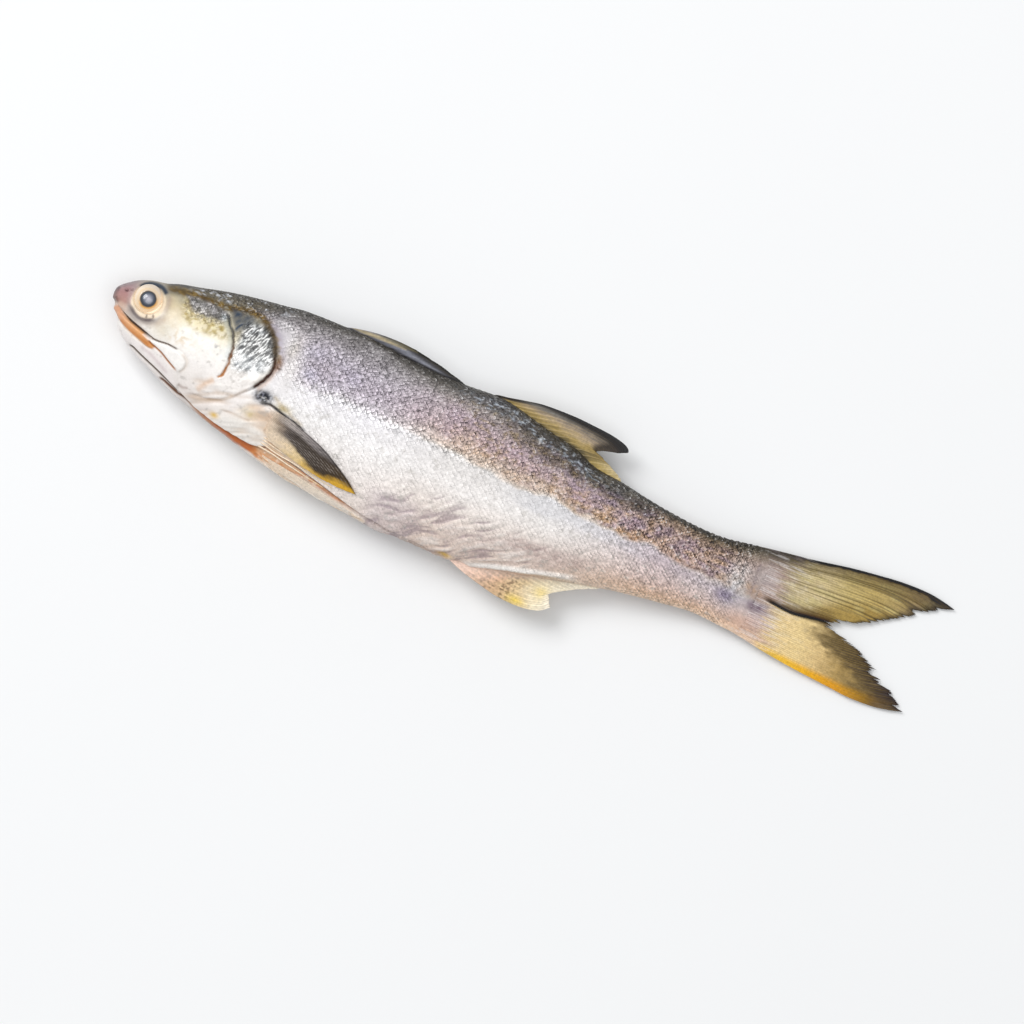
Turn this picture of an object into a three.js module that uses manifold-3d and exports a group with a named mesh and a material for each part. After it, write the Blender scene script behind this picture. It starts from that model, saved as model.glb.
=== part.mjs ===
// A whole threadfin about 300 mm long, lying on its right flank, with its left flank up.
// Millimetres. x runs from snout to tail, y from belly to back, z up from the surface it lies on.
// Pieces: the body with its head, two eyes, eight fins and eight pectoral filaments.
import * as THREE from "three";
import { mergeVertices } from "three/addons/utils/BufferGeometryUtils.js";
import Module from "manifold-3d";

const wasm = await Module();
wasm.setup();

// ---- Driving dimensions ----

const BODY_LENGTH = 238; // snout to the end of the scaly tail root
const BODY_DEPTH = 56; // back to belly, at the deepest
const BODY_WIDTH = 28; // flank to flank, at the widest
const PRESSED = 1.2; // how far the lower flank is flattened under the fish's weight
const CLEARANCE = 0.3; // between two neighbouring pieces
const FIN_THICKNESS = 0.8;
const FIN_SEAT = 3; // how far a fin's rays run on into the body before they are trimmed
const OFF_SURFACE = 0.1; // between the thin pieces and what they lie on

const EYE_DIAMETER = 10.4;
const EYE_AXIAL = 7.2; // along the line of sight, because the eyeball is flattened
const EYE_BULGE = 1.1; // how far the eyeball stands out of the head
const EYE_AT = { x: 11.8, y: 5 }; // from the snout, and above the body's axis
const EYE_TILT = 0.28; // radians that each eye looks up towards the back

const FIRST_DORSAL = { start: 77, length: 42, height: 3.6, bow: 0.7 };
const SECOND_DORSAL = { start: 137, length: 45, height: 10, bow: 4.4 };
const ANAL = { start: 140, length: 47, height: 9.6, bow: 3.4 };
const TAIL_FIN = { length: 62, spread: 39, fork: 46, drop: -1.8, bow: 2.9, end: 1 };

// A paired fin's root, tip and heel lie at these heights above the belly's edge, in line with them.
const PECTORAL = { x: 61.5, length: 40, root: 8, high: 17.2, tip: 7.2, heel: 6.9, bow: 3.4, rise: 1.6 };
const PELVIC = { x: 67, length: 36, root: 2.4, high: 2.3, tip: 0.8, heel: 0.5, bow: 0.2, rise: 0.5 };
const FILAMENT = { length: 34, diameter: 0.7, count: 4, spacing: 1.05, fall: 4.6 };
const FILAMENT_ROOT = { back: 4, below: 2.2 }; // of the topmost one, from the pectoral fin's root

const MOUTH = { length: 19, gap: 0.7 };
const GILL_SLIT = { width: 0.8, depth: 1.6 };
const BELLY_SLIT = { start: 35, end: 137, width: 0.9, depth: 4 };

// ---- The body's form ----

// Outline of the body, in percent: distance from the snout as a share of the length, the back's and
// belly's height as shares of the depth, the half width as a share of the width, and the height of
// the median plane as a share of its height in the trunk. The tail droops towards the surface.
const PROFILE = [
  [0, 4.5, 4.5, 0, 94],
  [0.6, 11, -3.2, 12.9, 95],
  [1.7, 15.4, -10, 19.3, 95.5],
  [3.4, 18.6, -17.1, 25, 96.3],
  [5.5, 22.1, -22, 30.7, 97],
  [9.2, 27, -28.2, 37.9, 98],
  [14.3, 32.9, -37.1, 43.6, 98.5],
  [19.7, 37.1, -43.9, 47.1, 99.3],
  [26, 41, -50.4, 49.3, 100],
  [34.5, 42.7, -56.5, 50, 100],
  [45, 40.5, -61, 49.6, 100],
  [53.4, 40.9, -60.5, 48.6, 100],
  [59.7, 39.3, -58.2, 46.4, 99.3],
  [65.5, 33.9, -52.5, 43.6, 96.3],
  [72.3, 26.6, -45.7, 37.9, 90.3],
  [80.7, 22.7, -36.8, 29.3, 77.6],
  [90, 19.1, -29.6, 20, 58],
  [95.8, 19.6, -27.4, 13.6, 45],
  [100, 18, -23.5, 6.4, 36],
];
const FULLNESS = 1.12; // power of the cosine in a cross-section: 1 is an ellipse, more is leaner

const profile = new THREE.CubicInterpolant(
  PROFILE.map(([at]) => (at / 100) * BODY_LENGTH),
  PROFILE.flatMap(([, ...shares]) => shares),
  4,
);

// Back, belly, half width and median height of the body at x, as it bulges before it is pressed flat.
function sectionAt(x) {
  const held = THREE.MathUtils.clamp(x, 0, BODY_LENGTH);
  const [back, belly, half, median] = profile.evaluate(held);
  return {
    back: (back / 100) * BODY_DEPTH,
    belly: (belly / 100) * BODY_DEPTH,
    half: (half / 100) * BODY_WIDTH,
    median: (median / 100) * (BODY_WIDTH / 2 - PRESSED),
  };
}

// Half the body's width at height y of the cross-section at x, or 0 past its back or belly.
function flankAt(x, y) {
  const { back, belly, half } = sectionAt(x);
  const middle = (back + belly) / 2;
  const sine = (y - middle) / ((back - belly) / 2);
  return Math.abs(sine) < 1 ? half * Math.sqrt(1 - sine * sine) ** FULLNESS : 0;
}

// ---- Making solids ----

function geometryFrom(points, triangles) {
  const geometry = new THREE.BufferGeometry();
  geometry.setAttribute("position", new THREE.Float32BufferAttribute(points.flat(), 3));
  geometry.setIndex(triangles.flat());
  return geometry;
}

function solidFrom(geometry) {
  const bare = new THREE.BufferGeometry();
  bare.setAttribute("position", geometry.getAttribute("position"));
  bare.setIndex(geometry.getIndex());
  const merged = mergeVertices(bare, 1e-4);
  const mesh = new wasm.Mesh({
    numProp: 3,
    vertProperties: merged.getAttribute("position").array,
    triVerts: new Uint32Array(merged.getIndex().array),
  });
  return new wasm.Manifold(mesh);
}

// The largest body of a solid, without the slivers that a trim can leave beside it.
function largestBody(solid) {
  return solid.decompose().reduce((a, b) => (a.volume() > b.volume() ? a : b));
}

function meshFrom(name, solid, material) {
  const { numProp, vertProperties, triVerts } = solid.getMesh();
  const geometry = new THREE.BufferGeometry();
  const interleaved = new THREE.InterleavedBuffer(vertProperties, numProp);
  geometry.setAttribute("position", new THREE.InterleavedBufferAttribute(interleaved, 3, 0));
  geometry.setIndex(new THREE.BufferAttribute(triVerts, 1));
  const flat = geometry.toNonIndexed();
  flat.computeVertexNormals();
  const mesh = new THREE.Mesh(flat, material);
  mesh.name = name;
  return mesh;
}

// Solid bounded by the triangles, turned outwards if they face inwards.
function closed(points, triangles) {
  const made = solidFrom(geometryFrom(points, triangles));
  if (made.volume() > 0) return made;
  return solidFrom(geometryFrom(points, triangles.map(([a, b, c]) => [a, c, b])));
}

// Closed tube of rings: ringPoint(i, j) gives the point of ring i at turn j, and both ends are capped.
function loft(rings, turns, ringPoint, first, last) {
  const points = [first, last];
  const triangles = [];
  const at = (i, j) => 2 + i * turns + (j % turns);
  for (let i = 0; i < rings; i++) {
    for (let j = 0; j < turns; j++) {
      points.push(ringPoint(i, j));
      if (i === 0) triangles.push([0, at(0, j), at(0, j + 1)]);
      if (i === rings - 1) triangles.push([1, at(i, j + 1), at(i, j)]);
      if (i < rings - 1) {
        triangles.push([at(i, j), at(i + 1, j), at(i, j + 1)]);
        triangles.push([at(i, j + 1), at(i + 1, j), at(i + 1, j + 1)]);
      }
    }
  }
  return closed(points, triangles);
}

// Plate around the surface point(t, b), where t and b run from 0 to 1: "above" and "below" are its
// reach to either side of that surface.
function plate(point, across, along, above, below) {
  const points = [];
  const triangles = [];
  const at = (side, i, j) => (side * (across + 1) + i) * (along + 1) + j;
  const quad = (a, b, c, d) => triangles.push([a, b, c], [a, c, d]);
  for (const side of [0, 1]) {
    for (let i = 0; i <= across; i++) {
      for (let j = 0; j <= along; j++) {
        const [x, y, z] = point(i / across, j / along);
        points.push([x, y, side ? z + above : z - below]);
      }
    }
  }
  for (let i = 0; i < across; i++) {
    for (let j = 0; j < along; j++) {
      quad(at(0, i, j), at(0, i + 1, j), at(0, i + 1, j + 1), at(0, i, j + 1));
      quad(at(1, i, j), at(1, i, j + 1), at(1, i + 1, j + 1), at(1, i + 1, j));
    }
  }
  for (let i = 0; i < across; i++) {
    quad(at(0, i, 0), at(1, i, 0), at(1, i + 1, 0), at(0, i + 1, 0));
    quad(at(0, i + 1, along), at(1, i + 1, along), at(1, i, along), at(0, i, along));
  }
  for (let j = 0; j < along; j++) {
    quad(at(0, 0, j + 1), at(1, 0, j + 1), at(1, 0, j), at(0, 0, j));
    quad(at(0, across, j), at(1, across, j), at(1, across, j + 1), at(0, across, j + 1));
  }
  return closed(points, triangles);
}

// ---- The body ----

const RINGS = 56;
const TURNS = 36;
const SLIT_STEPS = 24;
const SLIT_END = 0.06; // share of a slit's length over which its ends narrow
const SIDES = [1, -1]; // the left flank, which is up, and the right

// The body grown by a margin on every side, with no cuts in it.
function bodyForm(margin) {
  const ringX = (i) => BODY_LENGTH * (1 - Math.cos((Math.PI * (i + 1)) / (RINGS + 1))) / 2;
  const ringPoint = (i, j) => {
    const x = ringX(i);
    const { back, belly, half, median } = sectionAt(x);
    const turn = (2 * Math.PI * j) / TURNS;
    const side = Math.cos(turn);
    const reach = (back - belly) / 2 + margin;
    const y = (back + belly) / 2 + reach * Math.sin(turn);
    const z = median + Math.sign(side) * (half + margin) * Math.abs(side) ** FULLNESS;
    return [i === RINGS - 1 ? x + margin : x, y, z];
  };
  const tip = (x, beyond) => {
    const { back, belly, median } = sectionAt(x);
    return [x + beyond, (back + belly) / 2, median];
  };
  return loft(RINGS, TURNS, ringPoint, tip(0, -margin), tip(BODY_LENGTH, margin));
}

// Cutter for a slit along a line on one flank. Its floor follows the flank at the given depth.
function slit(line, width, depth, side) {
  const curve = new THREE.SplineCurve(line.map(([x, y]) => new THREE.Vector2(x, y)));
  const corners = [[-1, false], [1, false], [1, true], [-1, true]];
  const corner = (share, aside, isOutside) => {
    const at = curve.getPoint(share);
    const along = curve.getTangent(share);
    const taper = Math.sin(Math.PI * THREE.MathUtils.clamp(share, SLIT_END, 1 - SLIT_END)) ** 0.5;
    const reach = (aside * width * taper) / 2;
    const out = isOutside ? BODY_WIDTH : flankAt(at.x, at.y) - depth;
    return [at.x - along.y * reach, at.y + along.x * reach, sectionAt(at.x).median + side * out];
  };
  const ringPoint = (i, j) => corner(i / SLIT_STEPS, ...corners[j]);
  return loft(SLIT_STEPS + 1, corners.length, ringPoint, corner(0, 0, true), corner(1, 0, true));
}

// Lines on the head, from distances behind the snout and heights above the body's axis.
const MOUTH_LINE = [[-2, -1], [3, -3.4], [11, -6.4], [MOUTH.length, -8.2]];
const GILL_EDGE = [[45, 15.6], [51.4, 14.2], [55.3, 10.9], [57.8, 6.4], [59.2, 1.5], [58.6, -3], [55.5, -8.8]];

// How far above the belly's edge the slit lies, at even steps from the throat to the vent.
const SLIT_INSET = [1, 1.4, 2, 4.6, 5.3, 4.6, 3.2, 2.2, 1.4, 0.9, 0.6];

function bellySlitLine() {
  return SLIT_INSET.map((inset, i) => {
    const x = THREE.MathUtils.lerp(BELLY_SLIT.start, BELLY_SLIT.end, i / (SLIT_INSET.length - 1));
    return [x, sectionAt(x).belly + inset];
  });
}

function eyeballAt(side, margin) {
  const { x, y } = EYE_AT;
  const { median } = sectionAt(x);
  const sphere = new THREE.SphereGeometry(0.5, 24, 16);
  sphere.scale(EYE_DIAMETER + 2 * margin, EYE_DIAMETER + 2 * margin, EYE_AXIAL + 2 * margin);
  sphere.rotateX(-side * EYE_TILT);
  sphere.translate(x, y, median + side * (flankAt(x, y) + EYE_BULGE - EYE_AXIAL / 2));
  return solidFrom(sphere);
}

function bodySolid() {
  const surface = new THREE.BoxGeometry(2 * BODY_LENGTH, 4 * BODY_DEPTH, BODY_WIDTH);
  surface.translate(BODY_LENGTH / 2, 0, -BODY_WIDTH / 2);
  const cuts = [
    solidFrom(surface),
    slit(MOUTH_LINE, MOUTH.gap, 2 * BODY_WIDTH, 1),
    slit(bellySlitLine(), BELLY_SLIT.width, BELLY_SLIT.depth, 1),
    lowerPectoralDent(),
    ...SIDES.map((side) => slit(GILL_EDGE, GILL_SLIT.width, GILL_SLIT.depth, side)),
    ...SIDES.map((side) => eyeballAt(side, CLEARANCE)),
  ];
  return largestBody(cuts.reduce((body, cut) => body.subtract(cut), bodyForm(0)));
}

// ---- Fins ----

const grownBody = bodyForm(CLEARANCE);

// Grid of a fin's rays: each runs from the root curve to the margin curve and bows sideways.
function rays(root, margin, bow, height) {
  const rootCurve = new THREE.SplineCurve(root.map(([x, y]) => new THREE.Vector2(x, y)));
  const marginCurve = new THREE.SplineCurve(margin.map(([x, y]) => new THREE.Vector2(x, y)));
  return (t, b) => {
    const from = rootCurve.getPoint(t);
    const to = marginCurve.getPoint(t);
    const x = THREE.MathUtils.lerp(from.x, to.x, b);
    const y = THREE.MathUtils.lerp(from.y, to.y, b) + bow(t) * 4 * b * (1 - b);
    return [x, y, height(x, y)];
  };
}

function finSolid(point, across, along) {
  const half = FIN_THICKNESS / 2;
  return largestBody(plate(point, across, along, half, half).subtract(grownBody));
}

const medianHeight = (x) => sectionAt(x).median;

// A fin on the back (side 1) or belly (side -1). Its margin is given as shares of the fin's length
// and height, measured from the body's edge.
function midlineFin({ start, length, height, bow }, side, margin) {
  const edge = (x) => (side > 0 ? sectionAt(x).back : sectionAt(x).belly);
  const shares = [0, 0.25, 0.5, 0.75, 1];
  const root = shares.map((share) => {
    const x = start + share * length;
    return [x, edge(x) - side * FIN_SEAT];
  });
  const outer = margin.map(([along, out]) => {
    const x = start + along * length;
    return [x, edge(x) + side * out * height];
  });
  const bowed = (t) => side * bow * (1 - t) ** 1.5;
  return finSolid(rays(root, outer, bowed, medianHeight), 16, 10);
}

const firstDorsalFin = () =>
  midlineFin(FIRST_DORSAL, 1, [[0.38, 0.95], [0.56, 1], [0.76, 0.78], [1, 0.1]]);

const secondDorsalFin = () =>
  midlineFin(SECOND_DORSAL, 1, [
    [0.95, 1], [0.85, 0.79], [0.77, 0.58], [0.75, 0.43], [0.85, 0.3], [1.02, 0.05],
  ]);

const analFin = () =>
  midlineFin(ANAL, -1, [
    [0.71, 1.04], [0.77, 0.94], [0.76, 0.68], [0.73, 0.5], [0.84, 0.36], [1.05, 0.12],
  ]);

function caudalFin() {
  const { length, spread, fork, drop, bow, end } = TAIL_FIN;
  const rootX = BODY_LENGTH - 4 * FIN_SEAT;
  const tipX = BODY_LENGTH + length;
  const forkX = tipX - fork;
  const { back, belly, median } = sectionAt(rootX);
  const middle = (back + belly) / 2;
  const root = [[rootX, back - 0.8], [rootX + FIN_SEAT, middle], [rootX, belly + 0.8]];
  const outer = [
    [tipX, drop + 0.58 * spread],
    [tipX - 0.24 * fork, drop + 0.43 * spread],
    [tipX - 0.52 * fork, drop + 0.2 * spread],
    [forkX, drop],
    [tipX - 0.62 * fork, drop - 0.03 * spread],
    [tipX - 0.28 * fork, drop - 0.2 * spread],
    [tipX - 1, drop - 0.42 * spread],
  ];
  const bowed = (t) => bow * (1 - 2 * t) * Math.abs(1 - 2 * t);
  const droop = (x) => {
    const share = (x - rootX) / (tipX - rootX);
    return THREE.MathUtils.lerp(median, end, Math.sin((share * Math.PI) / 2));
  };
  return finSolid(rays(root, outer, bowed, droop), 28, 12);
}

// Middle surface of a paired fin that lies back along a flank, with its outline grown by a margin.
function pairedFinSurface({ x, length, root, high, tip, heel, bow, rise }, side, grow) {
  const y = sectionAt(x).belly + high;
  const rootLine = [[x - grow, y + grow], [x + 0.6 - grow, y - root / 2], [x + 1.6 - grow, y - root - grow]];
  const tipY = sectionAt(x + length).belly + tip;
  const heelX = x + 0.42 * length;
  const heelY = sectionAt(heelX).belly + heel - grow;
  const outer = [
    [x + length + grow, tipY],
    [x + 0.86 * length, THREE.MathUtils.lerp(tipY, heelY, 0.2) - grow],
    [x + 0.66 * length, THREE.MathUtils.lerp(tipY, heelY, 0.5) - grow],
    [heelX, heelY],
  ];
  const settle = (atX, atY) => {
    const share = THREE.MathUtils.smoothstep(atX - x, 0, 0.2 * length);
    const out = THREE.MathUtils.lerp(-FIN_SEAT / 2, CLEARANCE + FIN_THICKNESS / 2 + rise, share);
    const z = medianHeight(atX) + side * (flankAt(atX, atY) + out);
    return Math.max(z, FIN_THICKNESS / 2 + OFF_SURFACE);
  };
  return rays(rootLine, outer, (t) => bow * (1 - t) + grow, settle);
}

const pairedFin = (fin, side) => finSolid(pairedFinSurface(fin, side, 0), 10, 14);

// The right pectoral fin is pressed between the flank and the surface, so the flank has a dent for it.
function lowerPectoralDent() {
  const surface = pairedFinSurface(PECTORAL, -1, CLEARANCE);
  return plate(surface, 10, 14, FIN_THICKNESS / 2 + CLEARANCE, BODY_WIDTH);
}

function lowerPectoralFin() {
  const half = FIN_THICKNESS / 2;
  return plate(pairedFinSurface(PECTORAL, -1, 0), 10, 14, half, half);
}

// ---- Pectoral filaments ----

const FILAMENT_SIDES = 8;

// One of the free rays below a pectoral fin, lying back between the fin and the flank.
function filament(side, index) {
  const { length, diameter, spacing, fall, count } = FILAMENT;
  const reach = length * (0.7 + (0.3 * (count - index)) / count);
  const rootX = PECTORAL.x + FILAMENT_ROOT.back;
  const rootY = sectionAt(PECTORAL.x).belly + PECTORAL.high - PECTORAL.root - FILAMENT_ROOT.below;
  const path = new THREE.CatmullRomCurve3(
    [0, 0.25, 0.5, 0.75, 1].map((share) => {
      const x = rootX - 0.4 * index * spacing + share * reach;
      const y = rootY - index * spacing - fall * share * (1 - (0.15 * index) / count);
      const out = flankAt(x, y) + CLEARANCE + diameter / 2 + OFF_SURFACE;
      return new THREE.Vector3(x, y, medianHeight(x) + side * out);
    }),
  );
  const section = new THREE.Shape();
  for (let k = 0; k < FILAMENT_SIDES; k++) {
    const turn = (2 * Math.PI * k) / FILAMENT_SIDES;
    const corner = [(Math.cos(turn) * diameter) / 2, (Math.sin(turn) * diameter) / 2];
    if (k) section.lineTo(...corner);
    else section.moveTo(...corner);
  }
  const tube = new THREE.ExtrudeGeometry(section, { steps: 14, extrudePath: path });
  tube.deleteAttribute("normal");
  tube.deleteAttribute("uv");
  return largestBody(solidFrom(mergeVertices(tube)).subtract(grownBody));
}

// ---- The fish ----

const skin = new THREE.MeshStandardMaterial({ color: 0xb9b3b3, roughness: 0.35, metalness: 0.2 });
const eyeMaterial = new THREE.MeshStandardMaterial({ color: 0xe2c9a0, roughness: 0.15, metalness: 0 });
const darkFin = new THREE.MeshStandardMaterial({ color: 0x55524a, roughness: 0.5, metalness: 0 });
const yellowFin = new THREE.MeshStandardMaterial({ color: 0xb8a468, roughness: 0.5, metalness: 0 });
const paleFin = new THREE.MeshStandardMaterial({ color: 0xe2cdb2, roughness: 0.5, metalness: 0 });

const fish = new THREE.Group();
fish.add(
  meshFrom("body", bodySolid(), skin),
  meshFrom("left_eye", eyeballAt(1, 0), eyeMaterial),
  meshFrom("right_eye", eyeballAt(-1, 0), eyeMaterial),
  meshFrom("first_dorsal_fin", firstDorsalFin(), darkFin),
  meshFrom("second_dorsal_fin", secondDorsalFin(), darkFin),
  meshFrom("anal_fin", analFin(), paleFin),
  meshFrom("caudal_fin", caudalFin(), yellowFin),
  meshFrom("left_pectoral_fin", pairedFin(PECTORAL, 1), darkFin),
  meshFrom("right_pectoral_fin", lowerPectoralFin(), darkFin),
  meshFrom("left_pelvic_fin", pairedFin(PELVIC, 1), paleFin),
  meshFrom("right_pelvic_fin", pairedFin(PELVIC, -1), paleFin),
);
for (const side of SIDES) {
  for (let index = 0; index < FILAMENT.count; index++) {
    const name = `${side > 0 ? "left" : "right"}_pectoral_filament_${index + 1}`;
    fish.add(meshFrom(name, filament(side, index), paleFin));
  }
}

// The frame's origin is the middle of the fish's box, on the surface that the fish lies on.
const box = new THREE.Box3().setFromObject(fish);
const centre = box.getCenter(new THREE.Vector3());
fish.position.set(-centre.x, -centre.y, -box.min.z);

const part = new THREE.Group();
part.add(fish);
export default part;
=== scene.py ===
"""Looks of a whole threadfin lying on its right flank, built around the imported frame.

Lengths inside this script are in millimetres along the fish's own axes: u from the snout towards the
tail, v from the body's axis towards the back, and height above the surface it lies on.
"""

import math

import bmesh
import bpy
import numpy as np
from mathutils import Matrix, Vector


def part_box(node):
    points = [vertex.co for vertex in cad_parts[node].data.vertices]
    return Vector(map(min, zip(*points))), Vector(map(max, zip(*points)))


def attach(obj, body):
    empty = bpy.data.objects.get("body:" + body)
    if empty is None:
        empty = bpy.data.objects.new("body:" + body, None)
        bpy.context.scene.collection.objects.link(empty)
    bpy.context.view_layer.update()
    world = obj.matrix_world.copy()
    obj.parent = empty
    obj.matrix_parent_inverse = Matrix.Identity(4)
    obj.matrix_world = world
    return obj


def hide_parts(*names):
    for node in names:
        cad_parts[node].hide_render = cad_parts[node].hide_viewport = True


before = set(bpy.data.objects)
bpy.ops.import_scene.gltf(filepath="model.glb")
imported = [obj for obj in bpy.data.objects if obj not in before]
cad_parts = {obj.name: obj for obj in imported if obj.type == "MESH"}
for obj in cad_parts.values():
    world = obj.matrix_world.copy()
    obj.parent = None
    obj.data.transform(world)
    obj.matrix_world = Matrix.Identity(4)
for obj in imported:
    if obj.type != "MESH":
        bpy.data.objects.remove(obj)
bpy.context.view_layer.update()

MM = 0.001
BODY_LOW, BODY_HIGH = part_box("body")
EYE_LOW, EYE_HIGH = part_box("left_eye")
DORSAL_LOW, DORSAL_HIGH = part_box("first_dorsal_fin")
SNOUT_U = -1.1
EYE_U, EYE_V = 10.7, 5.0
X_ZERO = BODY_LOW[0] - SNOUT_U * MM
Y_ZERO = (EYE_LOW[1] + EYE_HIGH[1]) / 2 - EYE_V * MM
TRUNK_MEDIAN = (DORSAL_LOW[2] + DORSAL_HIGH[2]) / 2 / MM
END_U = SNOUT_U + (BODY_HIGH[0] - BODY_LOW[0]) / MM
TAIL_TIP_U = SNOUT_U + (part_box("caudal_fin")[1][0] - BODY_LOW[0]) / MM
SIDES = ((1, "left"), (-1, "right"))
EYE_TILT, EYE_DOME = 0.18, 3.45  # radians towards the back, and how far the ball's front stands out
PUPIL_AT = (0.02, 0.11)  # how far the pupil is off the ball's middle, as shares of its radius
TAIL_ROOT_RISE, TAIL_TIP_RISE = 5.7, 1.0  # heights of the tail fin's middle surface
CLEARANCE = 0.45  # the least height of a fin's middle surface
RAY_JOINT = 0.75  # length of one joint of a fin ray
SHINE = 0.018  # brightness that the skin's gloss adds, which is taken off its colour
DARKEST = 0.004


# ---- Numbers: curves, masks and noise ----


def spline(points, steps=24):
    """Dense points along a smooth curve through the given ones."""
    p = np.asarray(points, float)
    p = np.vstack([2 * p[0] - p[1], p, 2 * p[-1] - p[-2]])
    t = np.linspace(0, 1, steps, endpoint=False)[:, None]
    spans = []
    for a, b, c, d in zip(p, p[1:], p[2:], p[3:]):
        spans.append(
            0.5 * (2 * b + (c - a) * t + (2 * a - 5 * b + 4 * c - d) * t**2 + (3 * b - a - 3 * c + d) * t**3)
        )
    return np.vstack([*spans, p[-2:-1]])


def profile(points):
    """Function of u through the given (u, value) points."""
    dense = spline(points)
    return lambda u: np.interp(u, dense[:, 0], dense[:, 1])


def along(points, t):
    """Points at the shares t of a smooth curve's length."""
    dense = spline(points)
    run = np.concatenate([[0], np.cumsum(np.linalg.norm(np.diff(dense, axis=0), axis=1))])
    return np.stack([np.interp(t * run[-1], run, dense[:, k]) for k in range(dense.shape[1])], -1)


def ease(x, low, high):
    """0 below low, 1 above high, smooth between. low may be above high."""
    s = np.clip((x - low) / (high - low), 0, 1)
    return s * s * (3 - 2 * s)


def span(x, rise, full, fall, gone):
    """0 below rise, 1 from full to fall, 0 above gone."""
    return ease(x, rise, full) * ease(x, gone, fall)


def reach(u, v, points, steps=6):
    """Distance to a smooth line, and the share of its length at the nearest point."""
    line = spline(points, steps)
    best = np.full(np.shape(u), 1e9)
    share = np.zeros(np.shape(u))
    for i, (a, b) in enumerate(zip(line, line[1:])):
        along_it = b - a
        s = ((u - a[0]) * along_it[0] + (v - a[1]) * along_it[1]) / (along_it @ along_it)
        s = np.clip(s, 0, 1)
        d = np.hypot(u - a[0] - s * along_it[0], v - a[1] - s * along_it[1])
        nearer = d < best
        best = np.where(nearer, d, best)
        share = np.where(nearer, (i + s) / (len(line) - 1), share)
    return best, share


def stroke(u, v, points, width, fade=0.12, hard=1):
    """Soft line: 1 on it, gone at about twice the width, fading at its ends. Hard ones have firm sides."""
    d, share = reach(u, v, points)
    ends = ease(share, 0, fade) * ease(share, 1, 1 - fade) if fade else 1
    return np.exp(-((d / width) ** (2 * hard))) * ends


def patch(u, v, points, soft):
    """Soft area inside a smooth closed outline."""
    ring = spline([*points, points[0]], 6)
    inside = np.zeros(np.shape(u), bool)
    distance = np.full(np.shape(u), 1e9)
    for a, b in zip(ring, ring[1:]):
        crosses = (a[1] > v) != (b[1] > v)
        rise = b[1] - a[1] if abs(b[1] - a[1]) > 1e-9 else 1e-9
        inside ^= crosses & (u < (b[0] - a[0]) * (v - a[1]) / rise + a[0])
        run = b - a
        s = np.clip(((u - a[0]) * run[0] + (v - a[1]) * run[1]) / max(run @ run, 1e-9), 0, 1)
        distance = np.minimum(distance, np.hypot(u - a[0] - s * run[0], v - a[1] - s * run[1]))
    return ease(np.where(inside, distance, -distance), -soft, soft)


def blob(u, v, at, size, soft=1.0):
    """Soft ellipse."""
    return np.exp(-((((u - at[0]) / size[0]) ** 2 + ((v - at[1]) / size[1]) ** 2) ** soft))


def noise(x, y, seed, octaves=1):
    """Smooth noise between about -1 and 1, with features of size 1."""
    table = np.random.default_rng(seed).uniform(-1, 1, (128, 128))
    total = np.zeros(np.shape(x))
    for octave in range(octaves):
        px, py = np.asarray(x) * 2**octave + 17.3 * octave, np.asarray(y) * 2**octave + 9.1 * octave
        i, j = np.floor(px).astype(int), np.floor(py).astype(int)
        fx, fy = px - i, py - j
        fx, fy = fx * fx * (3 - 2 * fx), fy * fy * (3 - 2 * fy)
        at = lambda a, b: table[(i + a) % 128, (j + b) % 128]
        low = at(0, 0) * (1 - fx) + at(1, 0) * fx
        high = at(0, 1) * (1 - fx) + at(1, 1) * fx
        total += (low * (1 - fy) + high * fy) / 2**octave
    return total


def flecks(x, y, seed, low, high):
    """Irregular marks where fine noise passes from low to high."""
    return ease(noise(x, y, seed, 2), low, high)


def rgb(code):
    """Linear colour from a six-digit sRGB code."""
    c = np.array([int(code[i : i + 2], 16) for i in (0, 2, 4)]) / 255
    return np.where(c <= 0.04045, c / 12.92, ((c + 0.055) / 1.055) ** 2.4)


def ramp(x, stops):
    """Colour at x between (place, code) stops."""
    places = [s[0] for s in stops]
    colours = np.array([rgb(s[1]) for s in stops])
    return np.stack([np.interp(x, places, colours[:, k]) for k in range(3)], -1)


class Paint:
    """Colours at the points (u, v), laid over one another in turn. Each brush gives the colours so far."""

    def __init__(self, u, v, colours):
        self.u, self.v, self.colours = u, v, colours

    def over(self, mask, colour):
        """Lays a colour as strongly as the mask says."""
        colour = rgb(colour) if isinstance(colour, str) else colour
        m = np.clip(mask, 0, 1)[..., None]
        self.colours = self.colours * (1 - m) + colour * m
        return self.colours

    def line(self, strength, points, width, colour, fade=0.12, hard=1, by=1):
        return self.over(strength * stroke(self.u, self.v, points, width, fade, hard) * by, colour)

    def spot(self, strength, at, size, colour, soft=1.0, by=1):
        return self.over(strength * blob(self.u, self.v, at, size, soft) * by, colour)

    def area(self, strength, points, soft, colour, by=1):
        return self.over(strength * patch(self.u, self.v, points, soft) * by, colour)


# ---- The body's form ----

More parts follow.
